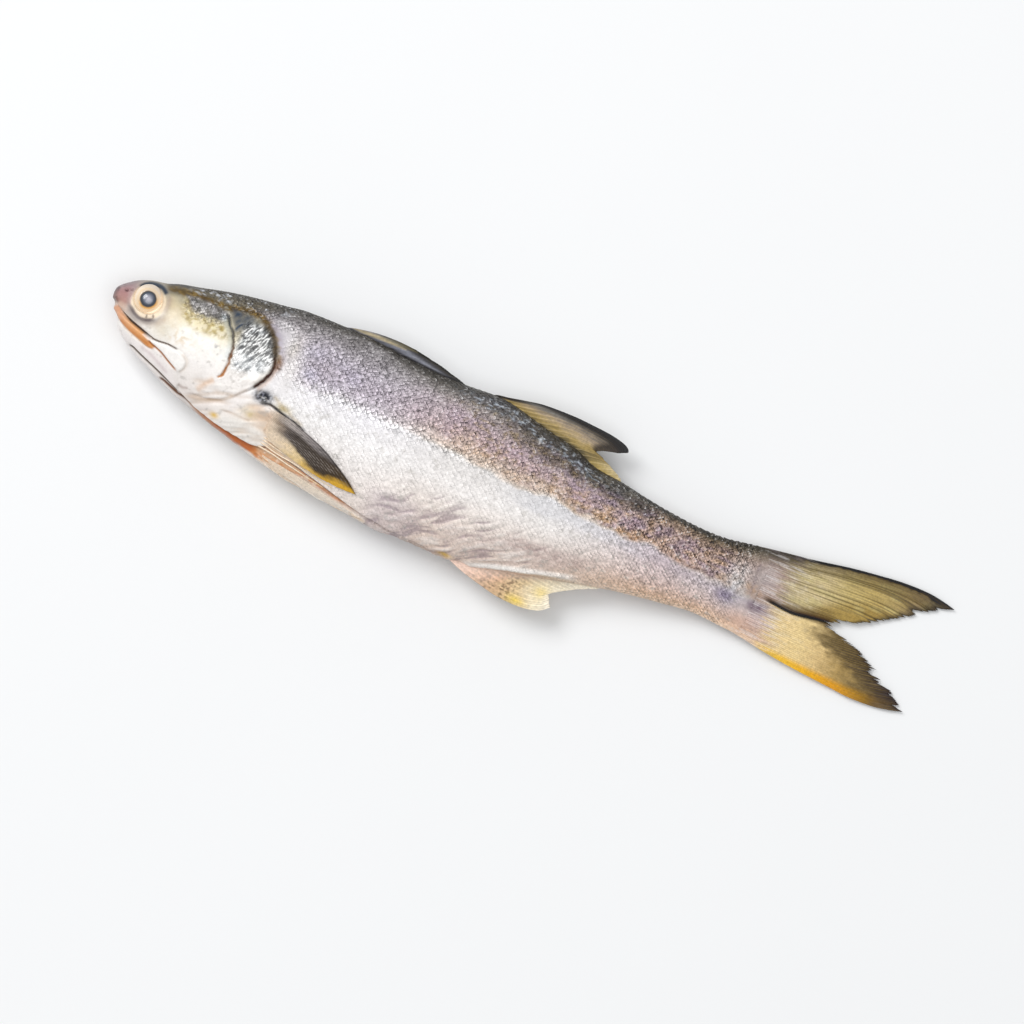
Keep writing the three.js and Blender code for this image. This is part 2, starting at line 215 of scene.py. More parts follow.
BACK = profile([
    (-1.1, 2.5), (-0.8, 4.4), (0.4, 6), (2, 7.4), (5, 9.5), (9, 10.9), (13.7, 12.1), (18.4, 14), (24, 15.6),
    (33, 18.0), (43, 20.0), (52, 21.5), (60, 22.8), (70, 23.5), (80, 23.6), (90, 23.2), (100, 22.5),
    (110, 22.2), (120, 22.4), (130, 23.1), (137, 22.8), (150, 20), (160, 18.3), (165, 16.7), (170, 15),
    (180, 13.9), (190, 12.6), (200, 11.5), (210, 10.8), (218, 11), (226, 12.3), (232, 13.4), (237, 13.9),
])
BELLY = profile([
    (-1.1, 2.5), (-0.6, 0.2), (1.1, -2.3), (2.8, -4.2), (4.4, -7.2), (6.7, -9.5), (11.4, -12.4), (20, -16.2),
    (30.5, -20.5), (38, -22.6), (47.3, -25.1), (56.7, -27.2), (68, -29.8), (80, -31.6), (89, -32.6),
    (100, -33.4), (108, -34.3), (114, -34.2), (125, -33.6), (132, -33.9), (138, -33.4), (150, -30.5),
    (160, -28.6), (170, -26.1), (180, -23.2), (190, -20.9), (200, -19.0), (210, -17.3), (220, -15.9),
    (230, -16.3), (237, -16.4),
])
HALF = profile([
    (-1.1, 0), (-0.7, 2.4), (0.3, 3.8), (2.9, 5.6), (6.9, 7.2), (12, 8.8), (20.8, 10.8), (32.9, 12.3),
    (45.8, 13.3), (60.8, 13.8), (81, 14), (106, 13.9), (126, 13.6), (141, 13.0), (154.8, 12.2), (171, 10.6),
    (191, 8.2), (213, 5.4), (224, 3.4), (231, 1.7), (237, 0.3),
])
MEDIAN_SHARE = profile([
    (-1.1, 0.94), (6.9, 0.97), (20, 0.985), (45.8, 0.993), (60.8, 1), (126, 1), (141, 0.993), (154.8, 0.963),
    (171, 0.903), (191, 0.776), (213, 0.58), (226.9, 0.45), (237, 0.36),
])
FULLNESS = 1.1


def median(u):
    return MEDIAN_SHARE(u) * TRUNK_MEDIAN


def flank(u, v):
    """How far the skin is from the median plane."""
    middle, half_depth = (BACK(u) + BELLY(u)) / 2, np.maximum((BACK(u) - BELLY(u)) / 2, 1e-6)
    cosine = np.sqrt(np.clip(1 - ((v - middle) / half_depth) ** 2, 0, 1))
    return HALF(u) * cosine**FULLNESS


# Lines and areas on the head and flank.
MOUTH = [(-1, 0.6), (1.4, -1.4), (4, -2.6), (8, -4.1), (13, -5.5), (17.5, -6.9)]
LIP_UNDER = [(0.8, -2.4), (3.7, -5), (7.5, -7), (12.5, -8.6), (17, -9.9), (18.9, -9.2)]
MAXILLA_TOP = [(13, -5.9), (17.5, -6.6), (23, -6.3), (28, -6.8), (31, -8.8), (31, -11.6), (29.6, -13.2)]
MAXILLA_UNDER = [(16, -7.2), (18.5, -8.4), (22, -9.6), (25.5, -11.4), (29.6, -13.2)]
MAXILLA = [(14, -6.4), (19, -6.6), (24, -6.4), (28.5, -7.2), (31, -9), (31, -11.8), (29.4, -13),
           (25.5, -11.2), (22, -9.5), (18, -8)]
JAW_EDGE = [(10.4, -11.3), (15.1, -13.1), (21.5, -15.3), (28.8, -18.2), (32.5, -19.6)]
JAW_EDGE_FAR = [(24, -17.2), (29, -19), (33, -20.3), (37.4, -21.7), (41.8, -22.6)]
PREOPERCLE = [(36.6, 11.9), (39.2, 8.4), (41.7, 5.2), (43.2, 1.6), (43.8, -3.2), (43.8, -7.4), (42.4, -9.6)]
OPERCLE = [(47.5, 15), (50.2, 13.6), (53.6, 11.2), (56.3, 7.1), (58.2, 1.9), (57.7, -2.3), (56.2, -5.1),
           (54.2, -8.2), (51.6, -11), (48.5, -14.6), (44.5, -17), (39.5, -18.6), (34, -19.3)]
COVER = [*OPERCLE, (30, -17), (33, -12), (38, -2), (37, 8), (42, 14.6)]
BELLY_SLIT = [(31.5, -18.8), (36, -20.6), (42, -22.6), (50, -24.2), (55, -24.9), (61, -25.5), (64, -25.3),
              (67, -24.2), (72, -25), (80, -26.5), (87, -28), (95, -29.8), (104.6, -31.7), (115.5, -32.9),
              (126, -33), (135, -33.9)]
PECTORAL_AREA = [(60, -10), (70, -11.2), (80, -14), (90, -18.4), (101.5, -26), (95, -27.3), (80, -25.6),
                 (70, -23), (62.5, -19)]
EYE_OPENING = (11.1, 4.1, 5.5, 5.9)
ANAL_CREST = [(141, -33.9), (144, -32.4), (148, -30.8), (152, -29.4), (160, -26.9), (168.5, -24.4),
              (175, -22.6), (181, -21)]
ANAL_CREST_UNDER = [(146, -32.6), (152, -30.6), (160, -28), (170, -25), (178, -22.6)]


def scale_size(u):
    return np.interp(u, [20, 60, 120, 180, 237], [0.88, 1.0, 1.05, 0.9, 0.62])


def lattice(u, g):
    """Scale coordinates: a row of scales repeats every 2 along, and rows are 1 apart."""
    steps = np.linspace(SNOUT_U, 240, 900)
    run = np.concatenate([[0], np.cumsum(np.diff(steps) / scale_size(steps[1:]))])
    rows = g / (0.84 * scale_size(u))
    loose = 0.42 * (1 - 0.8 * ease(u, 165, 195))
    sway = loose * noise(u / 2.6, g / 2.6, 5, 2)
    lean = loose * noise(u / 2.4, g / 2.4, 6, 2)
    return np.interp(u, steps, run) + sway - 0.02 * np.abs(rows), rows + lean


def scaliness(u, v):
    """Where there are scales, and how clear they are."""
    behind = ease(u, 56, 64)
    above_cover = ease(v, 12, 16) * ease(u, 18, 34)
    clear = np.maximum(behind, above_cover)
    clear = clear * (1 - 0.55 * blob(u, v, (63, -2), (4, 11)))
    clear = clear * (1 - 0.92 * patch(u, v, [(56, -12), (70, -13), (78, -19), (84, -26), (60, -27)], 3))
    clear = clear * (1 - 0.6 * patch(u, v, SLIT_FLESH, 1.5))
    head_patch = 0.8 * patch(u, v, [(22, 12), (37, 12.5), (36, 7), (26, 6), (22, 9)], 1.5)
    cover_scales = 0.45 * patch(u, v, [(42, 12), (52, 12), (57, 5), (57, -1), (50, -4.5), (44, -4)], 2)
    clear = clear * (0.28 + 0.72 * ease(v, -3.5, 1.5) + 0.42 * ease(u, 160, 200) * ease(v, 0, -3))
    rows = 0.6 * ease(u, 168, 200) * ease(v, -4, 1)
    clear = np.clip(np.maximum.reduce([clear, head_patch, cover_scales]), 0, 1)
    return (clear + rows) * (1 - 0.8 * ease(u, 226, 236))


SLIT_FLESH = [(33, -19.9), (42, -22.8), (50, -24.2), (58, -25), (64, -25.2), (68, -24.4), (72, -25),
              (80, -26.6), (92, -29.4), (105, -32), (95, -30.9), (85, -29), (79, -28.4), (76, -29),
              (68, -28.9), (60, -27.6), (50, -26.6), (40, -23.2)]


def wrinkles(u, v):
    """Slack diagonal folds of the belly skin."""
    where = span(u, 98, 112, 158, 176) * ease(v, -12, -19)
    across = u * 0.50 - v * 0.86 + 1.3 * noise(u / 9, v / 6, 31)
    lengthwise = (u * 0.86 + v * 0.50) / 6
    return where * noise(lengthwise, across, 32, 2)


def throat_folds(u, v):
    where = span(u, 33, 40, 60, 68) * ease(v, -9, -13)
    return where * noise((u + 0.4 * v) / 8, (v - 0.35 * u) / 1.5, 41, 2)


def relief(u, v, g, side):
    """Height of the skin's own detail, outwards."""
    h = 0.16 * noise(u / 14, g / 10, 11, 2)
    ulat, vlat = lattice(u, g)
    h += 0.085 * scaliness(u, v) * np.cos(np.pi * ulat) * np.cos(np.pi * vlat)
    # gill cover: a plate whose free edge stands off the flank
    d_edge, edge_share = reach(u, v, OPERCLE)
    covered = patch(u, v, COVER, 0.35)
    free = span(edge_share, 0.1, 0.38, 0.85, 1) * (0.25 + 0.75 * ease(edge_share, 0.72, 0.48))
    raised = 0.95 * covered * ease(d_edge, 6.5, 0.3)
    sunk = 0.75 * (1 - covered) * np.exp(-((d_edge / 1.3) ** 2))
    h += free * (raised - sunk)
    h -= 0.7 * stroke(u, v, PREOPERCLE, 0.45, 0.05)
    plate = patch(u, v, [(43, 13), (52, 12), (57, 4), (57, -3), (48, -5), (44, -4)], 2)
    h += 0.12 * plate * noise(u / 2.6 + v / 5, v / 1.1 - u / 4, 43, 2)
    # mouth, lips and upper jaw
    h -= 1.25 * stroke(u, v, MOUTH, 0.5, 0.04)
    band = patch(u, v, [*MOUTH[1:], *LIP_UNDER[::-1]], 0.5)
    h += 0.42 * band - 0.35 * stroke(u, v, LIP_UNDER, 0.45)
    h += 0.55 * patch(u, v, MAXILLA, 0.7) - 0.45 * stroke(u, v, MAXILLA_UNDER, 0.5)
    h -= 0.4 * stroke(u, v, MAXILLA_TOP, 0.4)
    h += 0.3 * stroke(u, v, [(1, 0.2), (5, -1.6), (10, -3.3), (15, -4.6)], 0.8)
    h -= 0.7 * stroke(u, v, JAW_EDGE, 0.4)
    h -= 0.55 * stroke(u, v, JAW_EDGE_FAR, 0.4)
    # eye: a socket inside a soft fleshy lid
    eu, ev, eru, erv = EYE_OPENING
    r = np.hypot((u - eu) / eru, (v - ev) / erv)
    r_ball = np.hypot(u - EYE_U, v - EYE_V)
    h += 0.3 * np.exp(-(((r - 1.12) / 0.25) ** 2))
    h -= 1.8 * ease(r_ball, 5.2, 4.4)
    # nostrils
    for at in ((2.9, 4.9), (4.4, 5.6)):
        ring = np.hypot(u - at[0], v - at[1])
        h += 0.22 * np.exp(-(((ring - 0.75) / 0.3) ** 2)) - 0.7 * np.exp(-((ring / 0.42) ** 2))
    # throat, belly and flank
    h += 0.24 * throat_folds(u, v)
    mound = [(48, -19.8), (58, -19), (65, -20.4), (66, -23.2), (63, -24.6), (54, -24), (46, -22.4)]
    h += 0.45 * patch(u, v, mound, 1.6)
    h -= 0.5 * stroke(u, v, [(50, -12.6), (46.5, -15.6), (41.5, -17.6), (35, -18.6)], 0.6)
    h += 0.27 * wrinkles(u, v)
    h += 0.9 * stroke(u, v, ANAL_CREST, 0.8, 0.2) - 0.3 * stroke(u, v, ANAL_CREST_UNDER, 1.1, 0.2)
    h -= 0.9 * blob(u, v, (60.5, -9), (3.6, 2.6)) - 0.35 * blob(u, v, (68, -17), (6, 5))
    h += 0.25 * stroke(u, v, [(62, 1), (63.5, -3), (62.5, -7)], 1.2)
    h += (side > 0) * slit_relief(u, v)
    # bumps along the back and tail root, and loose skin at the vent
    h += 0.14 * ease(u, 185, 200) * ease(v, BACK(u) - 5, BACK(u) - 1) * np.sin(u * 2.9)
    h -= 0.4 * stroke(u, v, [(133, -33.4), (138, -32.4), (144, -31.4)], 0.6)
    h += 0.2 * ease(u, 222, 232) * noise(u / 9, v / 1.1, 51, 2)
    return h


def slit_relief(u, v):
    """The opened belly: the near wall stands proud, the flesh beyond it lies deeper."""
    d, share = reach(u, v, BELLY_SLIT)
    beyond = v < np.interp(u, *np.array(BELLY_SLIT).T)
    opened = span(share, 0, 0.06, 0.9, 1)
    h = opened * np.where(beyond, -1.3 * np.exp(-d / 1.6), 0.55 * np.exp(-d / 1.4))
    h -= 0.9 * opened * np.exp(-((d / 0.42) ** 2))
    flap = patch(u, v, [(64, -27.2), (80, -29), (98, -32), (104, -34), (84, -33.5), (66, -30)], 0.6)
    return h + 0.25 * flap * np.sin((v + 0.22 * u) * 5.2)


def stations():
    tip = SNOUT_U + 2.6 * np.linspace(0.05, 1, 15) ** 2
    head = np.arange(tip[-1] + 0.36, 62, 0.39)
    trunk = np.linspace(62, END_U, 284)
    return np.concatenate([tip, head, trunk])


def flap_rise(u, v):
    """How much the far wall of the opened belly lies flatter than the round flank."""
    slit = np.interp(u, *np.array(BELLY_SLIT).T)
    beyond = np.clip(slit - v, 0, None)
    width = np.maximum(slit - BELLY(u), 0.5)
    flatter = (0.86 * flank(u, slit) - 0.5 * beyond) * np.sqrt(np.clip(1 - (beyond / width) ** 5, 0, 1))
    opened = span(u, 40, 60, 104, 124) * ease(beyond, 0, 1.2)
    return opened * np.clip(flatter - flank(u, v), 0, None)


def body_grid(upper=168, lower=52):
    """Body points by station and turn, with what the painting needs to know about them."""
    u = stations()[:, None]
    turn = np.concatenate([
        np.linspace(-0.5, 0.5, upper, endpoint=False), np.linspace(0.5, 1.5, lower, endpoint=False)
    ])[None, :] * np.pi
    back, belly = BACK(u), BELLY(u)
    sine, cosine = np.sin(turn), np.cos(turn)
    v = (back + belly) / 2 + (back - belly) / 2 * sine
    z = median(u) + np.sign(cosine) * HALF(u) * np.abs(cosine) ** FULLNESS
    z = np.where(cosine > 0, z + flap_rise(u + 0 * v, v), z)
    points = np.stack([u + 0 * turn, v, z], -1)
    step = np.linalg.norm(np.roll(points, -1, 1) - points, axis=-1)
    girth = np.concatenate([np.zeros((len(u), 1)), np.cumsum(step[:, :-1], 1)], 1)
    middle_up = girth[:, upper // 2][:, None]
    middle_down = girth[:, upper + lower // 2][:, None]
    side = np.where(np.arange(turn.shape[1]) < upper, 1, -1)[None, :] + 0 * u.astype(int)
    g = np.where(side > 0, girth - middle_up, middle_down - girth)
    return points, g, side


def body_normals(points):
    ahead = np.gradient(points, axis=0)
    around = (np.roll(points, -1, 1) - np.roll(points, 1, 1)) / 2
    n = np.cross(around, ahead)
    return n / np.maximum(np.linalg.norm(n, axis=-1, keepdims=True), 1e-9)


# ---- Painting the body ----


def flank_colours(u, v, g=None):
    """Skin colours of the trunk, from the back's dark grey to the belly's white."""
    g = v if g is None else g
    line = np.interp(u, [50, 70, 140, 165, 190, 225], [1.4, 0.3, -0.6, -1.4, -2.4, -4])
    line = line + 0.9 * noise(u / 7, v / 3, 61, 2)
    back, belly = BACK(u), BELLY(u)
    w = (v - line) / np.maximum(back - line, 1)
    q = (line - v) / np.maximum(line - belly, 1)
    w = w + 0.05 * noise(u / 9, v / 5, 62, 2)
    front = ramp(w, [(0, "dfdadd"), (0.1, "cfc7ce"), (0.2, "beb4bd"), (0.35, "b6acb6"), (0.56, "b5adb5"),
                     (0.78, "8b8688"), (0.93, "66625f"), (1, "4c4944")])
    mid = ramp(w, [(0, "e2d7cd"), (0.1, "c8b4a6"), (0.32, "bda6a3"), (0.56, "ae9e9f"), (0.8, "8e8682"),
                   (0.93, "66605b"), (1, "4a453f")])
    rear = ramp(w, [(0, "d6c9bd"), (0.12, "c2aa9b"), (0.35, "b79e93"), (0.6, "b49a8e"), (0.75, "a08878"),
                    (0.87, "806d5c"), (1, "463f37")])
    low_front = ramp(q, [(0, "e9e6ea"), (0.3, "f2efee"), (0.6, "f9f2ee"), (0.85, "f6ebe4"), (1, "f8e8dc")])
    low_mid = ramp(q, [(0, "dedad8"), (0.3, "f0ebe8"), (0.6, "efe2d9"), (0.82, "e8d6ca"), (1, "f2ddcc")])
    low_rear = ramp(q, [(0, "d6ced4"), (0.3, "dcccc9"), (0.6, "d8bfb5"), (0.85, "dcbaa0"), (1, "f0d3b9")])
    to_mid = ease(u, 92, 128)[..., None]
    to_rear = ease(u, 160, 205)[..., None]
    high = (front * (1 - to_mid) + mid * to_mid) * (1 - to_rear) + rear * to_rear
    low = (low_front * (1 - to_mid) + low_mid * to_mid) * (1 - to_rear) + low_rear * to_rear
    edge = 0.035 + 0.05 * ease(u, 150, 220)
    up = ease(w, -edge, edge)[..., None]
    p = Paint(u, v, low * (1 - up) + high * up)
    violet = span(u, 100, 120, 180, 205) * span(w, 0.12, 0.3, 0.5, 0.75)
    p.over(0.22 * violet * (1 + noise(u / 6, v / 4, 63)), "a58fa3")
    blue = ease(u, 100, 66) * span(w, 0, 0.15, 0.3, 0.7)
    p.over(0.3 * blue * (1 + noise(u / 5, v / 4, 64)), "9a99b4")
    ochre = ease(u, 108, 128) * span(w, 0.03, 0.12, 0.16, 0.42) * (0.7 + 0.6 * noise(u / 4, v / 3, 65))
    ochre = ochre * flecks(u / 1.0, v / 0.9, 68, -0.5, 0.5) * (0.45 + 0.55 * ease(u, 150, 190))
    p.over(0.75 * ochre, "b48a5c")
    p.over(0.5 * ease(w, 0.86, 0.97), "47433c")
    dusk = span(u, 128, 150, 186, 206) * span(w, 0.42, 0.68, 0.85, 1)
    p.over(0.78 * dusk * (0.85 + 0.4 * noise(u / 4, v / 2, 70)), "5d5147")
    gold = span(u, 112, 130, 170, 190) * span(w, 0.1, 0.3, 0.8, 0.95)
    p.over(0.5 * gold * flecks(u / 1.2, g / 0.9, 58, 0.15, 0.8), "a08a5e")
    haze = span(u, 138, 158, 190, 215) * ease(w, 0.02, -0.02) * ease(q, 0.3, 0.14)
    p.over(0.5 * haze, "d6d6dc")
    slate = span(u, 112, 132, 180, 205) * ease(back - v, 6.5, 3.5)
    p.over(0.6 * slate, "3a3f4a")
    # Painted glints: pale silvery specks over the dark band below the second dorsal fin.
    p.over(0.85 * slate * flecks(u / 1.1, g / 0.8, 69, 0.15, 0.8) * ease(u, 185, 168), "a9b1bc")
    p.over(0.5 * ease(back - v, 2.2, 0.2), "2f2d2a")
    patchy = noise(u / 3, v / 1.5, 59, 2)
    zone = span(u, 128, 195, 222, 232) * span(w, 0.02, 0.12, 0.65, 0.9)
    p.over(0.4 * zone * ease(patchy + 0.4 - 1.3 * w, 0.0, 0.7), "b38d5a")
    p.over(0.48 * zone * ease(patchy, 0, -0.7), "877690")
    olive = ease(u, 120, 150) * ease(w, 0.7, 0.9) * (0.5 + 0.5 * noise(u / 5, v / 4, 66))
    return p.over(0.3 * olive, "6b6244")


def paint_flank(p):
    """Marks behind the head, on the belly and at the tail root."""
    u, v = p.u, p.v
    p.spot(0.85, (63.5, 3), (3.8, 8.5), "e9e4e2")
    p.spot(0.55, (61.5, 10.5), (3.2, 4), "d5ccc4")
    p.spot(0.5, (61.5, 9.5), (1.6, 2.5), "a39470")
    # Painted shade in the troughs of the belly wrinkles, and painted highlight on their crests.
    p.over(0.6 * ease(-wrinkles(u, v), 0.1, 0.8), "94828a")
    p.over(0.5 * ease(wrinkles(u, v), 0.15, 0.8), "fbf3ec")
    low = span(u, 118, 134, 168, 182) * ease(v - np.interp(u, [130, 180], [-19, -15]), 1, -5)
    p.over(0.2 * low * (0.7 + 0.5 * noise(u / 1.6, v / 1.1, 67, 2)), "b3979a")
    streak = stroke(u, v, [(144, -20.4), (155, -19), (165, -18), (175, -17), (188, -15)], 2.4, 0.3)
    p.over(0.5 * streak * (0.8 + 0.5 * noise(u / 2.5, v / 0.9, 60, 2)), "a88b87")
    crest = np.interp(u, [144, 152, 160, 178], [-32.4, -29.4, -26.9, -21.8])
    under = ease(v - crest, 0.3, -0.8) * span(u, 136, 146, 176, 192)
    p.over(0.85 * under, ramp(u, [(138, "e3c3b4"), (150, "dcb8a6"), (165, "e8cdb8"), (180, "f0e0cc")]))
    # Painted highlight: a near-white line along the crest of the anal fin's sheath.
    p.line(0.95, ANAL_CREST, 1.0, "fffaf4", 0.15, 2)
    p.over(0.4 * span(u, 100, 110, 118, 128) * ease(v, -18, -24), "b9a9b2")
    p.over(0.3 * ease(u, 155, 185) * ease(v, -17, -24), "e0bfa6")
    # pectoral base: bare, peach and cream
    bare = [(56, -12.5), (66, -13), (76, -17), (84, -23), (86, -26), (74, -25.2), (58, -24), (52, -19)]
    peach = ramp(u, [(54, "f4e8dc"), (58, "ead3bd"), (62, "dfc4aa"), (72, "dfc3a2"), (84, "f0e2d2")])
    p.area(0.9, bare, 2, peach)
    p.spot(0.5, (55, -20), (6, 3), "fbf3ea")
    p.spot(0.6, (65.5, -14.2), (3.2, 1.3), "ae9482")
    p.spot(0.7, (57, -15.8), (2.2, 1.7), "d9c384", by=0.8 + 0.4 * noise(u / 1.2, v / 1.2, 77))
    mound = [(48, -19.8), (58, -19), (65, -20.4), (66.3, -23.2), (63, -25), (54, -24.4), (46, -22.4)]
    p.area(0.8, mound, 1, "f7f2ec")
    # Painted shadow: a thin darker line just above the raised pale mound.
    p.line(0.5, [(47, -18.6), (53, -18.2), (59, -18.3)], 0.4, "b79c84")
    axil = blob(u, v, (59.1, -9.3), (3.3, 2.3), 1.8)
    p.over(0.93 * axil, "6d7080")
    p.over(axil * flecks(u / 0.7, v / 0.7, 71, -0.6, 0.1), "14161f")
    p.over(0.7 * axil * ease(noise(u / 0.6, v / 0.6, 72), 0.5, 0.8), "d5d7dd")
    p.spot(0.8, (66.8, -10), (2.6, 1.3), "b5a262")
    p.line(0.6, [(62, -7.2), (65, -8.8), (70, -11), (76, -13)], 0.6, "b9a684")
    # Painted shadow of the pectoral fin: a near-black line on the skin along its upper edge.
    shadow_line = [(58.6, -11.2), (62.3, -10.6), (65.5, -11.2), (68, -11.9), (72, -12.7), (77, -14.3)]
    p.line(1, shadow_line, 0.6, "0d0b0e", 0.06, 2)
    p.spot(0.5, (60, -13.6), (2.5, 1.2), "d2b296")
    # vent and the anal fin's base
    p.line(0.5, [(122, -33), (130, -33), (138, -32.6)], 1.1, "a5887c")
    p.spot(0.9, (135.7, -32.6), (2.2, 0.7), "e0b33c")
    # tail root
    p.spot(0.5, (203, -4), (16, 5), "b299a0")
    p.spot(0.85, (228.8, -0.5), (3.8, 7.5), "d3d1d2", by=0.8 + 0.4 * noise(u, v / 1.5, 73))
    p.spot(0.75, (226.8, -6.3), (4.4, 2.8), "76688a")
    p.spot(0.95, (238.8, -5.8), (4.4, 2.3), "6a5064", by=0.85 + 0.4 * noise(u / 1.3, v / 1.3, 74))
    p.spot(0.75, (237, 4.5), (5, 5.5), "c0b6b5")
    p.line(0.6, [(233.5, 9), (234.2, 2), (234.6, -4)], 0.5, "8c8089", by=0.6 + 0.5 * noise(u, v / 0.8, 75))
    p.spot(0.6, (235, -12), (5, 2.6), "d7b09a")
    dots = ease(u, 185, 205) * ease(v, 1, 5) * ease(u, 232, 224)
    return p.over(0.1 * dots, "4d443c")


def paint_slit(p):
    """The opened belly: raw flesh in the slit and the far wall's pale flap."""
    u, v = p.u, p.v
    beyond = v < np.interp(u, *np.array(BELLY_SLIT).T)
    flesh = patch(u, v, SLIT_FLESH, 0.35)
    raw = Paint(u, v, ramp(u + 2 * noise(u / 1.5, v, 82), [
        (34, "b98a5f"), (44, "c0743a"), (52, "bd6328"), (61, "c4682a"), (64, "d08448"), (66, "e2b086"),
        (76, "e9c19a"), (84, "dda27a"), (100, "c48a62"),
    ]))
    raw.over(0.6 * ease(u, 64, 67) * flecks(u / 1.8, v / 1.1, 83, 0.05, 0.7), "d48a4c")
    raw.over(0.7 * ease(u, 64, 67) * flecks(u / 1.6, v / 0.9, 84, 0.25, 0.8), "fbe9d6")
    p.over(0.95 * flesh * beyond, raw.colours)
    flap = patch(u, v, [(62, -28.6), (74, -29.2), (79, -28.6), (86, -29.4), (96, -31.6), (106, -33.2),
                        (104, -35), (84, -34), (64, -31)], 0.6)
    streaks = 0.5 + 0.5 * np.sin((v + 0.2 * u) * 4.6 + 1.5 * noise(u / 6, v, 81))
    p.over(0.92 * flap * beyond, ramp(streaks, [(0, "ecd3b8"), (1, "fff3e4")]))
    line = stroke(u, v, BELLY_SLIT, 0.4, 0.03, 2) * ease(u, 136, 122)
    p.over(0.98 * line * (1 + 0.2 * noise(u / 2, v, 85)), ramp(u, [
        (32, "5f3d24"), (52, "6b3416"), (62, "8a3c14"), (68, "a05a30"), (76, "84492a"), (84, "6b3a20"),
        (94, "7c4728"), (120, "93603d"),
    ]))
    p.line(0.9, [(78.6, -26), (80.6, -26.5)], 0.4, "2b1a12", 0)
    p.line(0.4, [(50, -23), (58, -24), (64, -24), (68, -23)], 0.8, "f6efe8")
    return p.spot(0.85, (46.5, -21.1), (1.5, 0.8), "e2b53a")


def paint_head(p, g):
    """Snout, cheek, jaws and gill cover."""
    u, v = p.u, p.v
    head = np.maximum(patch(u, v, COVER, 0.8), ease(u, 46, 40) * ease(v - BACK(u), -1.5, -4))
    head = np.maximum(head, ease(u, 40, 30))
    grain = noise(u / 1.3, g / 1.3, 91, 2)
    p.over(head, ramp(v + 1.2 * noise(u / 3, v / 3, 92), [
        (-22, "f3e9e3"), (-14, "f7f0eb"), (-8, "faf5f1"), (0, "f8f4ec"), (3.6, "ebe2cb"), (6.5, "d0c3a2"),
        (10, "aca48f"), (14, "8f8878"),
    ]))
    # dark olive crown and nape
    above = v - BACK(u)
    p.over(0.85 * ease(above, -5.2, -2.6) * span(u, 10, 19, 44, 56), "5f584a")
    p.over(0.75 * ease(above, -1.8, -0.5) * ease(u, 12, 22), "45413b")
    glints = ease(grain, 0.1, 0.7) * span(above, -4.4, -3, -1, -0.3) * span(u, 20, 26, 50, 60)
    p.over(0.75 * glints, "c3c6cd")
    band = [(13.5, 11), (19, 11.8), (26, 12.8), (34, 13), (40, 14.4), (46.4, 15.3), (49.5, 14.2), (52, 12.4),
            (54.8, 9.9), (56.9, 7.3), (58.4, 4.2), (58.8, 2)]
    p.over(0.97 * stroke(u, v + 0.3 * grain, band, 1.05, 0.06, 2) * ease(grain, -1.3, -0.3), "574420")
    p.line(0.7, band, 1.5, "8c7136", 0.06, by=flecks(u / 1.6, g / 0.9, 78, 0.0, 0.6))
    p.line(0.9, [(14, 12), (18, 13.6), (22, 14.8)], 0.4, "1f1d1c", 0.2)
    p.area(0.6, [(53, 16), (56, 12.6), (59, 8.6), (62.5, 8), (62, 13), (58, 17)], 1.4, "e2dedf")
    p.line(0.7, [(22, 11), (24, 8.5), (25.5, 6.4), (28, 5.6)], 1.0, "977f3c")
    temple = [(22, 11.6), (29, 12.2), (36, 12), (37.5, 9.6), (34, 7.2), (28, 7), (24, 8.8)]
    slate = ramp(grain, [(-0.9, "3f414a"), (-0.2, "77767d"), (0.3, "9d9ba2"), (0.9, "dcdadb")])
    p.area(0.75, temple, 1.0, slate)
    gold = patch(u, v, [(22, 10), (25, 7), (36, 7.5), (41, 4), (33, 2.5), (26, 3), (22.5, 6)], 1.4)
    p.over(0.9 * gold * flecks(u / 1.1, v / 0.9, 95, -0.25, 0.45), "a8924a")
    p.over(0.7 * gold * flecks(u / 0.9, v / 0.8, 96, 0.1, 0.7), "f3ecc6")
    p.over(0.6 * gold * flecks(u / 0.8, v / 0.7, 79, 0.3, 0.7), "7d6a33")
    p.spot(0.45, (25.5, -2.5), (5, 2.2), "c9a565", by=flecks(u / 1.2, v, 97, -0.1, 0.6))
    p.over(0.5 * flecks(u / 1.5, v / 1.2, 98, 0.55, 1.0) * ease(v, 4, 0), "bdb8b2")
    p.spot(0.55, (38.6, -0.8), (1.6, 1.1), "7d828c", by=ease(grain, -0.2, 0.4))
    p.spot(0.35, (19.5, -1), (3, 4), "cfd0c0")
    p.spot(0.65, (19, 2), (4.8, 6.8), "d8c3a3", 1.5, by=0.8 + 0.3 * grain)
    p.spot(0.5, (30, 4), (5, 2.4), "dccca4")
    p.line(0.55, [(17.2, 9.6), (17.4, 6), (17, 2.4)], 1.0, "b99f8a", 0.25)
    p.line(0.5, [(3, 0.6), (8, -2), (13, -2.6), (17.5, -0.4), (19, 3)], 1.3, "b9a494", 0.2)
    # snout
    p.spot(0.8, (2.6, -0.9), (3.4, 1.9), "c9a28c", 1.5)
    p.spot(0.6, (6.6, -1), (2.6, 1.6), "b3a095")
    snout = ease(u, 9.4, 4.4) * ease(v, -0.9, 1.2)
    p.over(0.9 * snout, ramp(v, [(0, "b08478"), (3.5, "a57375"), (6.5, "a08088"), (9.5, "978584")]))
    p.over(0.55 * ease(above, -2.2, -0.4) * ease(u, 12, 4), "8f8688")
    p.over(0.75 * ease(u, 1.2, -0.8), "6f5f5f")
    p.over(0.5 * ease(grain, 0.2, 0.9) * ease(u, 3, 0) * ease(v, -1, 1), "4a4042")
    p.spot(0.9, (2.7, 4.7), (0.6, 0.5), "4b2d33")
    p.spot(0.6, (1, 0.6), (0.8, 0.7), "7d4f45")
    p.spot(0.55, (4.4, 5.6), (0.4, 0.4), "5b3c40")
    p.spot(0.5, (1.4, 0.2), (0.6, 0.4), "4f3537")
